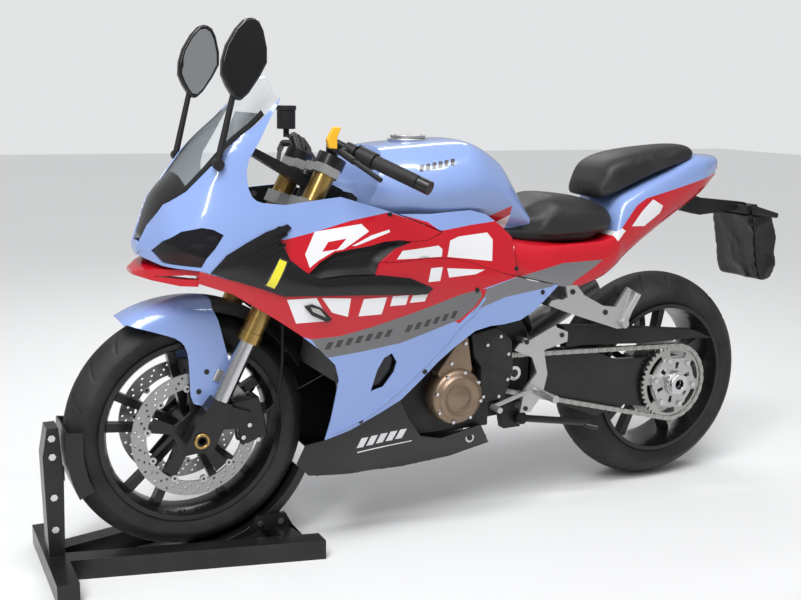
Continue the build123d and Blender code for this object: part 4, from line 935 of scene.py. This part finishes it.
wrapSizes = {"voxel": 0.007, "pull": 0.0015, "fold": 0.0065, "folds": 11.0, "fine": 30.0}


def crumpled(piece):
    # film drawn in and creased by two scales of folds, inwards only
    softened(remeshed(piece, wrapSizes["voxel"]), 6)
    for vertex in piece.data.vertices:
        broad = abs(noise.noise(vertex.co * wrapSizes["folds"]))
        small = abs(noise.noise(vertex.co * wrapSizes["fine"]))
        vertex.co -= vertex.normal * (wrapSizes["fold"] * broad + wrapSizes["pull"] * small)
    dressMesh(piece.data, [])
    return piece


for node, (body, slotName, material, width) in softEdged.items():
    words = node.split("_")
    piece = cleanCopy(words[0] + "".join(word.title() for word in words[1:]), node, [material])
    if node == "fork_lowers":
        piece.data.materials.append(blackEnamel)
        # black below, up to 112 mm along the raked leg
        for face in piece.data.polygons:
            spot = face.center * 1000
            along = (spot.z - 320) * 0.895 - (spot.x - axleShift + 8) * 0.446
            face.material_index = int(along < 112)
    if node == "wrapped_plate":
        crumpled(piece)
    else:
        bake(bevelled(piece, width, 3 if width > 3 else 2))
    place(piece, body, slotName, node)
print("softened pieces made")

# ---- tank, tail, seats
tankRows = [
    (-348, [(60, 972), (108, 962), (148, 930), (160, 905), (160, 880), (120, 866)]),
    (-450, [(70, 1008), (128, 984), (172, 930), (176, 890), (164, 856), (120, 838)]),
    (-560, [(75, 1022), (140, 1000), (186, 930), (184, 880), (160, 846), (120, 820)]),
    (-700, [(75, 1030), (140, 1004), (176, 930), (164, 872), (140, 838), (100, 806)]),
    (-820, [(60, 984), (108, 958), (138, 900), (128, 850), (108, 814), (80, 792)]),
    (-925, [(40, 845), (80, 836), (100, 818), (95, 802), (80, 792), (60, 788)]),
]
tankBand = [(-770, 834), (-850, 860), (-850, 835), (-806, 815)]
tankWhite = [(-806, 815), (-850, 835), (-850, 800), (-826, 788)]

tankSkin = loftSkin("fuelTank", tankRows, [paintBlue, paintRed, paintWhite, paintBlack], around=7, stepX=12)
paintZones(tankSkin, [(tankBand, 1), (tankWhite, 2)] + [(bar, 3) for bar in tankBars])
rake = math.radians(26.5)
legForward = Vector((math.cos(rake), 0, math.sin(rake)))
legUp = Vector((-math.sin(rake), 0, math.cos(rake)))
legFoot = Vector((-0.009 * math.cos(rake), 0, 0.324 - 0.009 * math.sin(rake))) + Vector((axleShift / 1000, 0, 0))


def onLeg(forward, y, up):
    # point beside the fork leg in the row frame, from millimetres
    return legFoot + legForward * (forward / 1000) + legUp * (up / 1000) + Vector((0, y / 1000, 0))


# the tank's nose is cut flat behind the fork legs, so that they can turn
with editing(tankSkin) as work:
    cut = bmesh.ops.bisect_plane(work, geom=work.verts[:] + work.edges[:] + work.faces[:],
                                 plane_co=onLeg(-109, 0, 0), plane_no=legForward, clear_outer=True)
    bmesh.ops.holes_fill(work, edges=[e for e in cut["geom_cut"] if isinstance(e, bmesh.types.BMEdge)])
    bmesh.ops.recalc_face_normals(work, faces=work.faces)
capSeat = turned("capSeat", (0, 0), [(0, 26), (0, 51), (4, 53), (8, 53), (8, 26)], 56, castSilver)
capSeat.data.transform(Matrix.Translation(row(-600, 0, 1023.5)) @ Matrix.Rotation(math.pi / 2, 4, "X")
                       @ Matrix.Translation(-row(0, 0, 0)))
tankParts = [bake(bevelled(tankSkin, 5, 3, 50)), capSeat]
place(join("fuelTank", tankParts), "chassis", "blue_metal", "fuel_tank")
fasteners("capScrews", [(x, y, 1040.2) for x, y in circle((-600, 0), 38, 6)], 3.2, 1.2, 12, brightSteel, "fuel_cap",
          "silver", (0, 0, 0))

tailRows = [
    (-842, [(40, 774), (118, 770), (150, 740), (156, 686), (140, 676), (40, 676)]),
    (-930, [(40, 760), (112, 758), (150, 738), (162, 668), (144, 656), (40, 656)]),
    (-1040, [(40, 752), (116, 750), (148, 742), (158, 650), (140, 630), (40, 628)]),
    (-1140, [(40, 756), (112, 754), (142, 746), (150, 676), (132, 650), (40, 648)]),
    (-1200, [(40, 776), (104, 774), (132, 768), (140, 704), (120, 680), (40, 678)]),
    (-1226, [(40, 860), (88, 852), (120, 820), (128, 724), (110, 694), (40, 692)]),
    (-1300, [(40, 900), (86, 896), (112, 868), (116, 780), (100, 738), (40, 736)]),
    (-1400, [(40, 936), (84, 932), (104, 912), (106, 846), (90, 796), (40, 794)]),
    (-1540, [(36, 984), (72, 976), (86, 956), (86, 908), (74, 872), (36, 870)]),
    (-1620, [(22, 980), (44, 974), (54, 962), (52, 940), (44, 918), (22, 914)]),
]
tailRed = [(-830, 790), (-1010, 790), (-1180, 790), (-1193, 769), (-1224, 792),
           (-1276, 847), (-1312, 866), (-1473, 900), (-1640, 934), (-1640, 600), (-830, 600)]
tailWhite = [(-1257, 789), (-1295, 830), (-1335, 862), (-1375, 842), (-1365, 821), (-1306, 787)]
tailChip = [(-1185, 768), (-1217, 786), (-1233, 777), (-1198, 750)]
tailSwoosh = [(-830, 664), (-893, 682), (-1001, 703), (-1140, 704), (-1107, 684), (-1040, 650), (-1000, 600),
              (-830, 600)]
tail = loftSkin("tailFairing", tailRows, [paintBlue, paintRed, paintWhite, paintSilver, blackMoulded], around=7,
                stepX=12)
paintZones(tail, [(tailWhite, 2), (tailChip, 2), (tailSwoosh, 3), (tailRed, 1)])
for face in tail.data.polygons:
    if face.normal.z < -0.8:
        face.material_index = 4
place(tail, "chassis", "blue_gloss", "tail_fairing")

seatSizes = {"voxel": 0.006, "pressure": 3.5, "cap": 0.006, "frames": 16}


def paddedSeat(name, rows, material):
    # crowned pad: the loft is remeshed, blown up a little and capped, then smoothed
    start = remeshed(loftSkin(name, rows, [material], around=4, stepX=12), seatSizes["voxel"])
    rest = [v.co.copy() for v in start.data.vertices]
    cloth = start.modifiers.new("foam", "CLOTH")
    cloth.settings.use_pressure = True
    cloth.settings.uniform_pressure_force = seatSizes["pressure"]
    cloth.settings.effector_weights.gravity = 0
    cloth.settings.quality = 5
    for step in range(1, seatSizes["frames"] + 1):
        bpy.context.scene.frame_set(step)
    bake(start)
    bpy.context.scene.frame_set(1)
    for vertex, old in zip(start.data.vertices, rest):
        move = vertex.co - old
        if move.length > seatSizes["cap"]:
            vertex.co = old + move.normalized() * seatSizes["cap"]
    softened(start, 4)
    start.data.materials.clear()
    dressMesh(start.data, [material])
    return start


riderRows = [
    (-866, [(26, 832), (70, 821), (80, 800), (74, 786)]),
    (-943, [(46, 843), (98, 828), (112, 800), (100, 766)]),
    (-1006, [(52, 874), (112, 855), (131, 812), (112, 762)]),
    (-1090, [(52, 867), (118, 847), (137, 812), (114, 764)]),
    (-1190, [(42, 845), (98, 831), (116, 808), (94, 782)]),
    (-1217, [(24, 834), (56, 824), (67, 806), (56, 793)]),
]
pillionRows = [
    (-1170, [(28, 900), (66, 891), (76, 872), (66, 862)]),
    (-1206, [(38, 962), (82, 945), (94, 900), (80, 873)]),
    (-1300, [(42, 990), (90, 975), (102, 940), (88, 913)]),
    (-1400, [(42, 1001), (86, 987), (95, 966), (82, 946)]),
    (-1500, [(36, 1007), (72, 997), (79, 986), (68, 970)]),
    (-1528, [(22, 998), (46, 992), (51, 988), (44, 983)]),
]
trayRows = [
    (-846, [(40, 800), (92, 796), (98, 770), (40, 756)]),
    (-943, [(40, 800), (100, 792), (106, 758), (40, 752)]),
    (-1090, [(40, 806), (114, 796), (120, 758), (40, 752)]),
    (-1186, [(40, 806), (88, 800), (92, 782), (40, 776)]),
]
place(loftSkin("seatTray", trayRows, [blackMoulded], around=3, stepX=20), "chassis", "black_plastic")
for name, rows, node in (("riderSeat", riderRows, "rider_seat"), ("pillionSeat", pillionRows, "pillion_seat")):
    seat = paddedSeat(name, rows, seatLeather)
    place(seat, "chassis", "seat", node)
print("tank, tail and seats made")

# ---- wheels
tyreSizes = {
    # name: centre, outer radius, half width, crown drop, half width between the flanges, grooves a side,
    # body, node
    "frontTyre": (frontAxle, 300.0, 60.0, 38.0, 46.7, 22, "front_wheel", "front_tyre"),
    "rearTyre": (rearAxle, 315.0, 90.0, 52.0, 74.7, 20, "rear_wheel", "rear_tyre"),
}
treadSizes = {"steps": 720, "across": 36, "depth": 4.0, "halfWidth": 4.4, "from": 0.16, "to": 0.86, "sweep": 0.62}


def grooved(piece, centre, radius, half, grooves):
    # presses long curved grooves into the crown, those of one side half a pitch behind the other's
    pitch = 2 * math.pi * radius / grooves
    for vertex in piece.data.vertices:
        x, y, z = (1000 * c for c in vertex.co)
        dx, dz = x - axleShift - centre[0], z - centre[1]
        share = abs(y) / half
        reach = math.hypot(dx, dz)
        if not treadSizes["from"] < share < treadSizes["to"] or reach < radius - 60:
            continue
        turnShare = math.atan2(dz, dx) / (2 * math.pi) * grooves
        along = turnShare + treadSizes["sweep"] * (share - 0.16) ** 0.75 + (0.5 if y > 0 else 0)
        away = abs((along + 0.5) % 1 - 0.5) * pitch
        taper = min(1, (share - treadSizes["from"]) / 0.12, (treadSizes["to"] - share) / 0.12)
        width = treadSizes["halfWidth"] * max(0.2, taper)
        if away < width:
            sink = treadSizes["depth"] * min(1, 2 * (1 - away / width))
            vertex.co.x -= sink * dx / reach / 1000
            vertex.co.z -= sink * dz / reach / 1000
    return piece


for name, (centre, radius, half, drop, seatHalf, grooves, body, node) in tyreSizes.items():
    crown = (half * half + drop * drop) / (2 * drop)
    profile = []
    for k in range(-treadSizes["across"] // 2, treadSizes["across"] // 2 + 1):
        y = half * math.sin(2 * k / treadSizes["across"] * math.pi / 2)
        profile.append((y, radius - crown + math.sqrt(crown * crown - y * y)))
    shoulder = radius - drop
    profile += [(half - 1, shoulder - 8), (half - 5, shoulder - 20), (seatHalf + 1, 229.5), (seatHalf, 228),
                (seatHalf, 218.3), (-seatHalf, 218.3), (-seatHalf, 228), (-seatHalf - 1, 229.5),
                (5 - half, shoulder - 20), (1 - half, shoulder - 8)]
    tyre = turned(name, centre, profile, treadSizes["steps"], tyreRubber)
    place(grooved(tyre, centre, radius, half, grooves), body, "tyre", node)

discSizes = {"outer": 155.0, "inner": 119.0, "holes": 26, "rows": (127.0, 136.5, 146.0), "bobbins": 10}
discParts = []
discHoles = []
for k, radius in enumerate(discSizes["rows"]):
    for i in range(discSizes["holes"]):
        angle = 2 * math.pi * (i + k * 0.33) / discSizes["holes"]
        discHoles.append(circle(polar(frontAxle, radius, angle), 3.2, 8))
discOutline = circle(frontAxle, discSizes["outer"], 90)
discHoles.append(circle(frontAxle, discSizes["inner"], 60))
carrierOutline = [polar(frontAxle, radius, math.radians(18 + 72 * (i + share))) for i in range(5) for share, radius in
                  ((-0.5, 50), (-0.16, 58), (-0.13, 112), (-0.2, 116), (0.2, 116), (0.13, 112), (0.16, 58))]
for side in (1, -1):
    low, high = sorted((side * 67.5, side * 72.5))
    discParts.append(flatPlate("ring", discOutline, discHoles, low, high, brushedSteel, edge=0))
    discParts.append(flatPlate("carrier", carrierOutline, [circle(frontAxle, 13, 32)], low - 1, high + 1,
                               blackEnamel, edge=0.8))
    bossLow, bossHigh = sorted((side * 55, side * 73))
    discParts.append(turned("boss", frontAxle, [(bossLow, 13), (bossLow, 40), (bossHigh, 40), (bossHigh, 13)], 48,
                            blackEnamel))
place(join("frontDiscs", discParts), "front_wheel", "steel", "front_discs")
bobbinSpots = bothSides(spotsRound(frontAxle, 117.5, 70, discSizes["bobbins"], math.pi / 2 / discSizes["bobbins"]))
fasteners("discBobbins", bobbinSpots, 8.5, 8.5, 20, castSilver, "front_wheel", "steel")
fasteners("discBobbinCentres", bobbinSpots, 3.4, 9.6, 16, blackEnamel, "front_wheel", "steel")
spindleRings = [turned("ring", frontAxle, [(low, 12.8), (low, 19), (high, 19), (high, 12.8)], 40, goldAnodised)
                for low, high in ((128.4, 133.6), (-133.6, -128.4))]
place(join("spindleRings", spindleRings), "fork", "gold")
fasteners("discBolts", bothSides(spotsRound(frontAxle, 34, 73.5, 5, math.radians(18))), 5, 5, 6, blackEnamel,
          "front_wheel", "steel")
print("front wheel made")

# ---- sprocket, its carrier and the chain
chainSizes = {"pitch": 15.875, "rearTeeth": 44, "frontTeeth": 17, "frontCentre": (-795.0, 412.0), "middle": 124.0}
rearPitch, frontPitch = (chainSizes["pitch"] / (2 * math.sin(math.pi / chainSizes[key]))
                         for key in ("rearTeeth", "frontTeeth"))
toothSteps = chainSizes["rearTeeth"] * 4
toothOutline = [polar(rearAxle, rearPitch + (-4.5, -4.5, 3.5, 3.5)[k % 4], 2 * math.pi * k / toothSteps)
                for k in range(toothSteps)]


def slotShape(angle, inner, outer, halfTurn):
    turns = [angle + halfTurn * (k / 2 - 1) for k in range(5)]
    return [polar(rearAxle, outer, a) for a in turns] + [polar(rearAxle, inner, a) for a in turns[::-1]]


slots = [slotShape(math.radians(60 * k + 40), 80, 96, 0.34) for k in range(6)]
sprocketPlate = flatPlate("toothed", toothOutline, [circle(rearAxle, 60, 40)] + slots, 121, 127, chainSteel,
                          edge=0)
carrier = []
for k in range(12):
    for share, radius in ((0, 74 if k % 2 else 80), (0.35, 74 if k % 2 else 82), (0.65, 74 if k % 2 else 82)):
        carrier.append(polar(rearAxle, radius, math.radians(30 * (k + share) - 5)))
carrierHoles = [slotShape(math.radians(60 * k + 40), 42, 62, 0.11) for k in range(6)] + [circle(rearAxle, 35, 40)]
carrierPiece = flatPlate("carrier", carrier, carrierHoles, 116.5, 133, castSilver, edge=1.5)
place(join("rearSprocket", [sprocketPlate, carrierPiece]), "rear_wheel", "silver", "sprocket")
fasteners("sprocketNuts", spotsRound(rearAxle, 72, 136, 6, math.radians(10)), 8, 7, 6, brightSteel, "rear_wheel",
          "steel")
hubNut = flatPlate("hubNut", circle(rearAxle, 33, 6, 0.3), [circle(rearAxle, 15, 32)], 146.2, 160, brightSteel, 1.5)
place(hubNut, "rear_wheel", "steel")


def chainTree():
    # link plates by turns inner and outer along the loop, and a roller at each joint
    tree, given, real = repeatGroup("chainLoop", [
        ("Count", "NodeSocketInt", 100), ("Inner", "NodeSocketVector", (0.02, 0.002, 0.01)),
        ("Outer", "NodeSocketVector", (0.02, 0.002, 0.01)), ("Inner Gap", "NodeSocketFloat", 0.003),
        ("Outer Gap", "NodeSocketFloat", 0.005), ("Roller Radius", "NodeSocketFloat", 0.004),
        ("Width", "NodeSocketFloat", 0.015)])
    line = addNode(tree, "GeometryNodeMeshToCurve", {0: given["Geometry"]})
    even = addNode(tree, "GeometryNodeResampleCurve", {"Curve": line.outputs[0], "Count": given["Count"]})
    spots = addNode(tree, "GeometryNodeCurveToPoints", {"Curve": even.outputs["Curve"]}, mode="EVALUATED").outputs
    index = addNode(tree, "GeometryNodeInputIndex")
    odd = addNode(tree, "ShaderNodeMath", {0: index.outputs[0], 1: 2.0}, operation="MODULO").outputs[0]
    turn = addNode(tree, "FunctionNodeAlignEulerToVector", {"Vector": spots["Tangent"]}, axis="X", pivot_axis="Y")
    gather = addNode(tree, "GeometryNodeJoinGeometry")
    for size, gap, operation in (("Inner", "Inner Gap", "LESS_THAN"), ("Outer", "Outer Gap", "GREATER_THAN")):
        plate = addNode(tree, "GeometryNodeMeshCube", {"Size": given[size]})
        pair = addNode(tree, "GeometryNodeJoinGeometry")
        for sign in (1, -1):
            reach = addNode(tree, "ShaderNodeMath", {0: given[gap], 1: sign}, operation="MULTIPLY")
            offset = addNode(tree, "ShaderNodeCombineXYZ", {"Y": reach.outputs[0]})
            move = addNode(tree, "GeometryNodeTransform", {"Geometry": plate.outputs["Mesh"],
                                                           "Translation": offset.outputs[0]})
            tree.links.new(move.outputs["Geometry"], pair.inputs["Geometry"])
        pick = addNode(tree, "FunctionNodeCompare", {0: odd, 1: 0.5}, operation=operation)
        spread = addNode(tree, "GeometryNodeInstanceOnPoints", {
            "Points": spots["Points"], "Selection": pick.outputs["Result"], "Instance": pair.outputs["Geometry"],
            "Rotation": turn.outputs[0]})
        tree.links.new(spread.outputs["Instances"], gather.inputs["Geometry"])
    roller = addNode(tree, "GeometryNodeMeshCylinder", {"Vertices": 8, "Radius": given["Roller Radius"],
                                                        "Depth": given["Width"]})
    upright = addNode(tree, "GeometryNodeTransform", {"Geometry": roller.outputs["Mesh"],
                                                      "Rotation": Euler((math.pi / 2, 0, 0))})
    ends = addNode(tree, "GeometryNodeInstanceOnPoints", {"Points": spots["Points"],
                                                          "Instance": upright.outputs["Geometry"]})
    tree.links.new(ends.outputs["Instances"], gather.inputs["Geometry"])
    tree.links.new(gather.outputs["Geometry"], real)
    return tree


# the chain's loop: round the rear sprocket, then round the front one
spanX, spanZ = (chainSizes["frontCentre"][k] - rearAxle[k] for k in (0, 1))
slope = math.atan2(spanZ, spanX)
lean = math.asin((rearPitch - frontPitch) / math.hypot(spanX, spanZ))
topAngle, bottomAngle = slope + math.pi / 2 - lean, slope - math.pi / 2 + lean
frontTurn = topAngle - bottomAngle
loop = [polar(rearAxle, rearPitch, topAngle + (2 * math.pi - frontTurn) * k / 48) for k in range(49)]
loop += [polar(chainSizes["frontCentre"], frontPitch, bottomAngle + frontTurn * k / 24) for k in range(25)]
loopLength = sum(math.dist(loop[k], loop[k - 1]) for k in range(len(loop)))
chain = makeMesh("driveChain", [(x, chainSizes["middle"], z) for x, z in loop], [], [])
chain.data.edges.add(len(loop))
chain.data.edges.foreach_set("vertices", [i for k in range(len(loop)) for i in (k, (k + 1) % len(loop))])
chain.data.update()
repeated(chain, chainTree(), {
    "Count": 2 * round(loopLength / chainSizes["pitch"] / 2), "Inner": (0.0205, 0.0018, 0.0125),
    "Outer": (0.0205, 0.0018, 0.0125), "Inner Gap": 0.0044, "Outer Gap": 0.0064, "Roller Radius": 0.0048,
    "Width": 0.0155, "Finish": chainSteel})
place(chain, "chassis", "chain", "chain")
print("chain made")

# ---- fender
fenderSizes = {"inner": 304.0, "crown": 331.0, "half": 72.0, "front": 60.0, "rear": 152.0, "wall": 3.0}
fenderPoints = []
sweep, widths = 64, 18
for i in range(sweep + 1):
    share = i / sweep
    angle = math.radians(fenderSizes["front"] + (fenderSizes["rear"] - fenderSizes["front"]) * share)
    edgeRadius = fenderSizes["inner"] + 19 * max(0, 1 - share * 4)
    halfWidth = fenderSizes["half"] - 14 * max(0, 1 - share * 6) ** 2
    for k in range(widths + 1):
        side = 2 * k / widths - 1
        flare = abs(side) ** 4
        x, z = polar(frontAxle, fenderSizes["crown"] - (fenderSizes["crown"] - edgeRadius) * flare, angle)
        fenderPoints.append((x, halfWidth * side * (1 - 0.03 * flare), z))
# blue in front, black behind the fork leg
fenderZones = [int(i > sweep * 0.42) for i in range(sweep) for _ in range(widths)]
fenderArch = makeMesh("arch", fenderPoints, gridFaces(sweep, widths), [paintBlue, blackMoulded], fenderZones)
fenderParts = [bake(bevelled(walled(fenderArch, fenderSizes["wall"]), 0.8, 2, 50))]
lobe = [(-41, 645), (-58, 604), (-72, 547), (-80, 516), (-86, 489), (-80, 449), (-64, 425), (-50, 409), (-37, 399),
        (-14, 397), (6, 405), (13, 425), (14, 475), (16, 511), (19, 533), (25, 549), (34, 560), (48, 570), (68, 578),
        (96, 588), (126, 598), (157, 607), (140, 616), (110, 628), (74, 638), (30, 645), (-10, 648)]


def lobeDepth(x, z):
    # outside the arch near the crown, and flat beside the fork leg
    radius = math.hypot(x, z - 324)
    return curveAt([270, 290, 300, 305, 310, 315, 320, 325, 329],
                   [84.0, 83.0, 80.5, 78.0, 74.0, 69.0, 63.0, 54.5, 44.0], radius)


fenderParts.append(panel("lobe", lobe, lobeDepth, [paintBlue], step=9, wall=3.4, edge=1.4, sides=(1, -1)))
place(join("frontFender", fenderParts), "fork", "blue_gloss", "front_fender")
fasteners("fenderScrews", bothSides([(-27, 84.2, 481), (-7, 84.2, 434)]), 6.5, 2.4, 20, blackEnamel, "fork",
          "black_metal")
print("fender made")

# ---- engine covers and small fasteners
generator = (-668.0, 372.0)
coverProfile = [(132.3, 0), (132.3, 74), (178, 74), (190, 69), (192, 62), (194, 60), (199, 58), (202, 54), (202, 44),
                (198, 42), (198, 30), (201, 28), (201, 0)]
coverParts = [turned("lathe", generator, coverProfile, 72, bronzeCast)]
coverParts.append(flatPlate("wing", [(-612, 440), (-676, 530), (-700, 528), (-716, 440), (-700, 400), (-630, 400)],
                            [], 132.3, 176, bronzeCast, edge=5, segments=3))
place(join("generatorCover", coverParts), "chassis", "bronze", "generator_cover")
fasteners("generatorBolts", spotsRound(generator, 67, 190, 8, math.pi * 0.6 / 8)
          + [(-690, 177, 512), (-650, 177, 462)], 5, 8, 6, brightSteel, "chassis", "steel")
fasteners("coverBolts", [(-760, 173, 500), (-800, 173, 520), (-826, 173, 470), (-826, 173, 400), (-800, 173, 356),
                         (-752, 173, 360)], 5, 6, 6, brightSteel, "chassis", "steel")
fasteners("pivotRing", [(-876, 128.5, 401)], 20, 5, 40, brightSteel, "chassis", "steel")
# a flat black disc on the pivot ring is painted shade standing for the hollow axle
fasteners("pivotHollowShade", [(-876, 131, 401)], 11, 1.2, 32, blackEnamel, "chassis", "black_metal")
fasteners("chockBolts", [(330, side * 32, z) for side in (1, -1) for z in (120, 200, 300, 345)]
          + [(x, side * 81, 68) for side in (1, -1) for x in (-160, -215)], 9, 7, 6, brightSteel, "fork", "steel")
fasteners("caliperBolts", bothSides([(x, 101, z) for x, z in ((-95, 372), (-150, 300), (-128, 340), (-112, 310))]),
          6, 4, 6, brightSteel, "fork", "steel")
fasteners("rearsetBolts", bothSides([(-900, 149, 490), (-905, 149, 302), (-935, 149, 350), (-1015, 149, 500)]),
          7, 4, 6, blackEnamel, "chassis", "black_metal")
fasteners("bracketBolts", bothSides([(-1000, 161, 610), (-1150, 161, 556), (-1035, 161, 622)]), 8, 4, 6,
          blackEnamel, "chassis", "black_metal")
clip = flatPlate("fluidClip", [(-4, 0), (16, 2), (22, 22), (4, 52), (-14, 50), (-4, 26)], [], -7, 7, yellowPlastic,
                 edge=2.0)
clip.data.transform(Matrix.Translation(row(-312, 190, 1016) - row(0, 0, 0)))
place(clip, "fork", "black_plastic")

# ---- brake hoses, held cords along the solid's own route
caliperAngle = math.radians(168)
hoseStart, hoseBend = (polar(frontAxle, reach, caliperAngle) for reach in (172.3, 206.3))
clipSpot, endSpot = (onLeg(8, 48, up) * 1000 for up in (548, 597.7))
hoseRoute = [
    (hoseStart[0], 80, hoseStart[1]), (hoseBend[0], 80, hoseBend[1]), (-212, 84, 420), (-220, 85, 480),
    (-220, 85, 546), (-222, 84, 606), (-230, 76, 664), (-236, 64, 722), (-238, 53, 770),
    (clipSpot.x - axleShift, 48, clipSpot.z), (endSpot.x - axleShift, 48, endSpot.z),
]
for side, suffix in ((1, "left"), (-1, "right")):
    line = bpy.data.curves.new("brakeHose" + suffix.title(), "CURVE")
    line.dimensions = "3D"
    line.bevel_depth = 0.004
    line.bevel_resolution = 4
    line.use_fill_caps = True
    spline = line.splines.new("NURBS")
    spline.points.add(len(hoseRoute) - 1)
    for point, (x, y, z) in zip(spline.points, hoseRoute):
        point.co = (*row(x, side * y, z), 1)
    spline.order_u = 3
    spline.use_endpoint_u = True
    line.materials.append(softRubber)
    hose = newObject("brakeHose" + suffix.title(), line)
    place(hose, "fork", "rubber", "brake_hose_" + suffix)
print("cords made")

# ---- light, floor and camera
stageSizes = {"floor": 16.0, "sun": 1.9, "stripPower": 34.0, "world": 0.4, "seen": 0.82}
floorMaterial = principled("paleFloor", {"Base Color": (0.72, 0.725, 0.73, 1), "Roughness": 0.6})[0]
floorMesh = bpy.data.meshes.new("floor")
reach = stageSizes["floor"]
floorMesh.from_pydata([(-reach, -reach, 0), (reach, -reach, 0), (reach, reach, 0), (-reach, reach, 0)], [],
                      [(0, 1, 2, 3)])
floorMesh.materials.append(floorMaterial)
floor = newObject("floor", floorMesh)

world = bpy.data.worlds.new("studio")
world.use_nodes = True
background = world.node_tree.nodes["Background"].inputs
lightPath = addNode(world.node_tree, "ShaderNodeLightPath").outputs
seen = addNode(world.node_tree, "ShaderNodeMath", {0: lightPath["Is Camera Ray"],
                                                   1: lightPath["Is Transmission Ray"]}, operation="MAXIMUM")
level = remapped(world.node_tree, seen.outputs[0], 0.0, 1.0, stageSizes["world"], stageSizes["seen"])
world.node_tree.links.new(level, background["Strength"])
background["Color"].default_value = (0.93, 0.94, 0.95, 1)
bpy.context.scene.world = world


def addLamp(name, spot, aim, size, power):
    data = bpy.data.lights.new(name, "AREA")
    data.energy = power
    data.shape = "RECTANGLE"
    data.size, data.size_y = size
    lamp = newObject(name, data)
    lamp.location = spot
    lamp.rotation_euler = (Vector(aim) - Vector(spot)).to_track_quat("-Z", "Y").to_euler()


addLamp("stripAbove", (0.3, 0.9, 2.9), (0, 0, 0.6), (3.4, 0.22), stageSizes["stripPower"])
addLamp("stripFront", (1.9, 1.4, 2.6), (0.3, 0, 0.6), (0.22, 2.4), stageSizes["stripPower"])
addLamp("stripBehind", (-0.5, -2.4, 2.8), (0, 0, 0.6), (3.0, 0.3), stageSizes["stripPower"])
sunData = bpy.data.lights.new("softSun", "SUN")
sunData.energy = stageSizes["sun"]
sunData.angle = 0.6
sun = newObject("softSun", sunData)
sun.rotation_euler = Vector((-0.35, -0.5, -1)).to_track_quat("-Z", "Y").to_euler()

cameraSizes = {"place": (0.6802 + axleShift / 1000, 2.4982, 1.1532), "yaw": 0.46991, "pitch": 0.19445,
               "roll": 0.01964, "lens": 1063.46 / 801 * 36}
yaw, pitch, roll = (cameraSizes[key] for key in ("yaw", "pitch", "roll"))
ahead = Vector((-math.sin(yaw) * math.cos(pitch), -math.cos(yaw) * math.cos(pitch), -math.sin(pitch)))
right = ahead.cross(Vector((0, 0, 1))).normalized()
above = right.cross(ahead)
turnedRight = right * math.cos(roll) + above * math.sin(roll)
turnedUp = above * math.cos(roll) - right * math.sin(roll)
cameraData = bpy.data.cameras.new("camera")
cameraData.lens = cameraSizes["lens"]
cameraData.sensor_width = 36
camera = newObject("camera", cameraData)
basis = Matrix((turnedRight, turnedUp, -ahead)).transposed().to_4x4()
camera.matrix_world = Matrix.Translation(cameraSizes["place"]) @ basis
bpy.context.scene.camera = camera
bpy.context.scene.view_settings.view_transform = "Standard"
print("stage made")
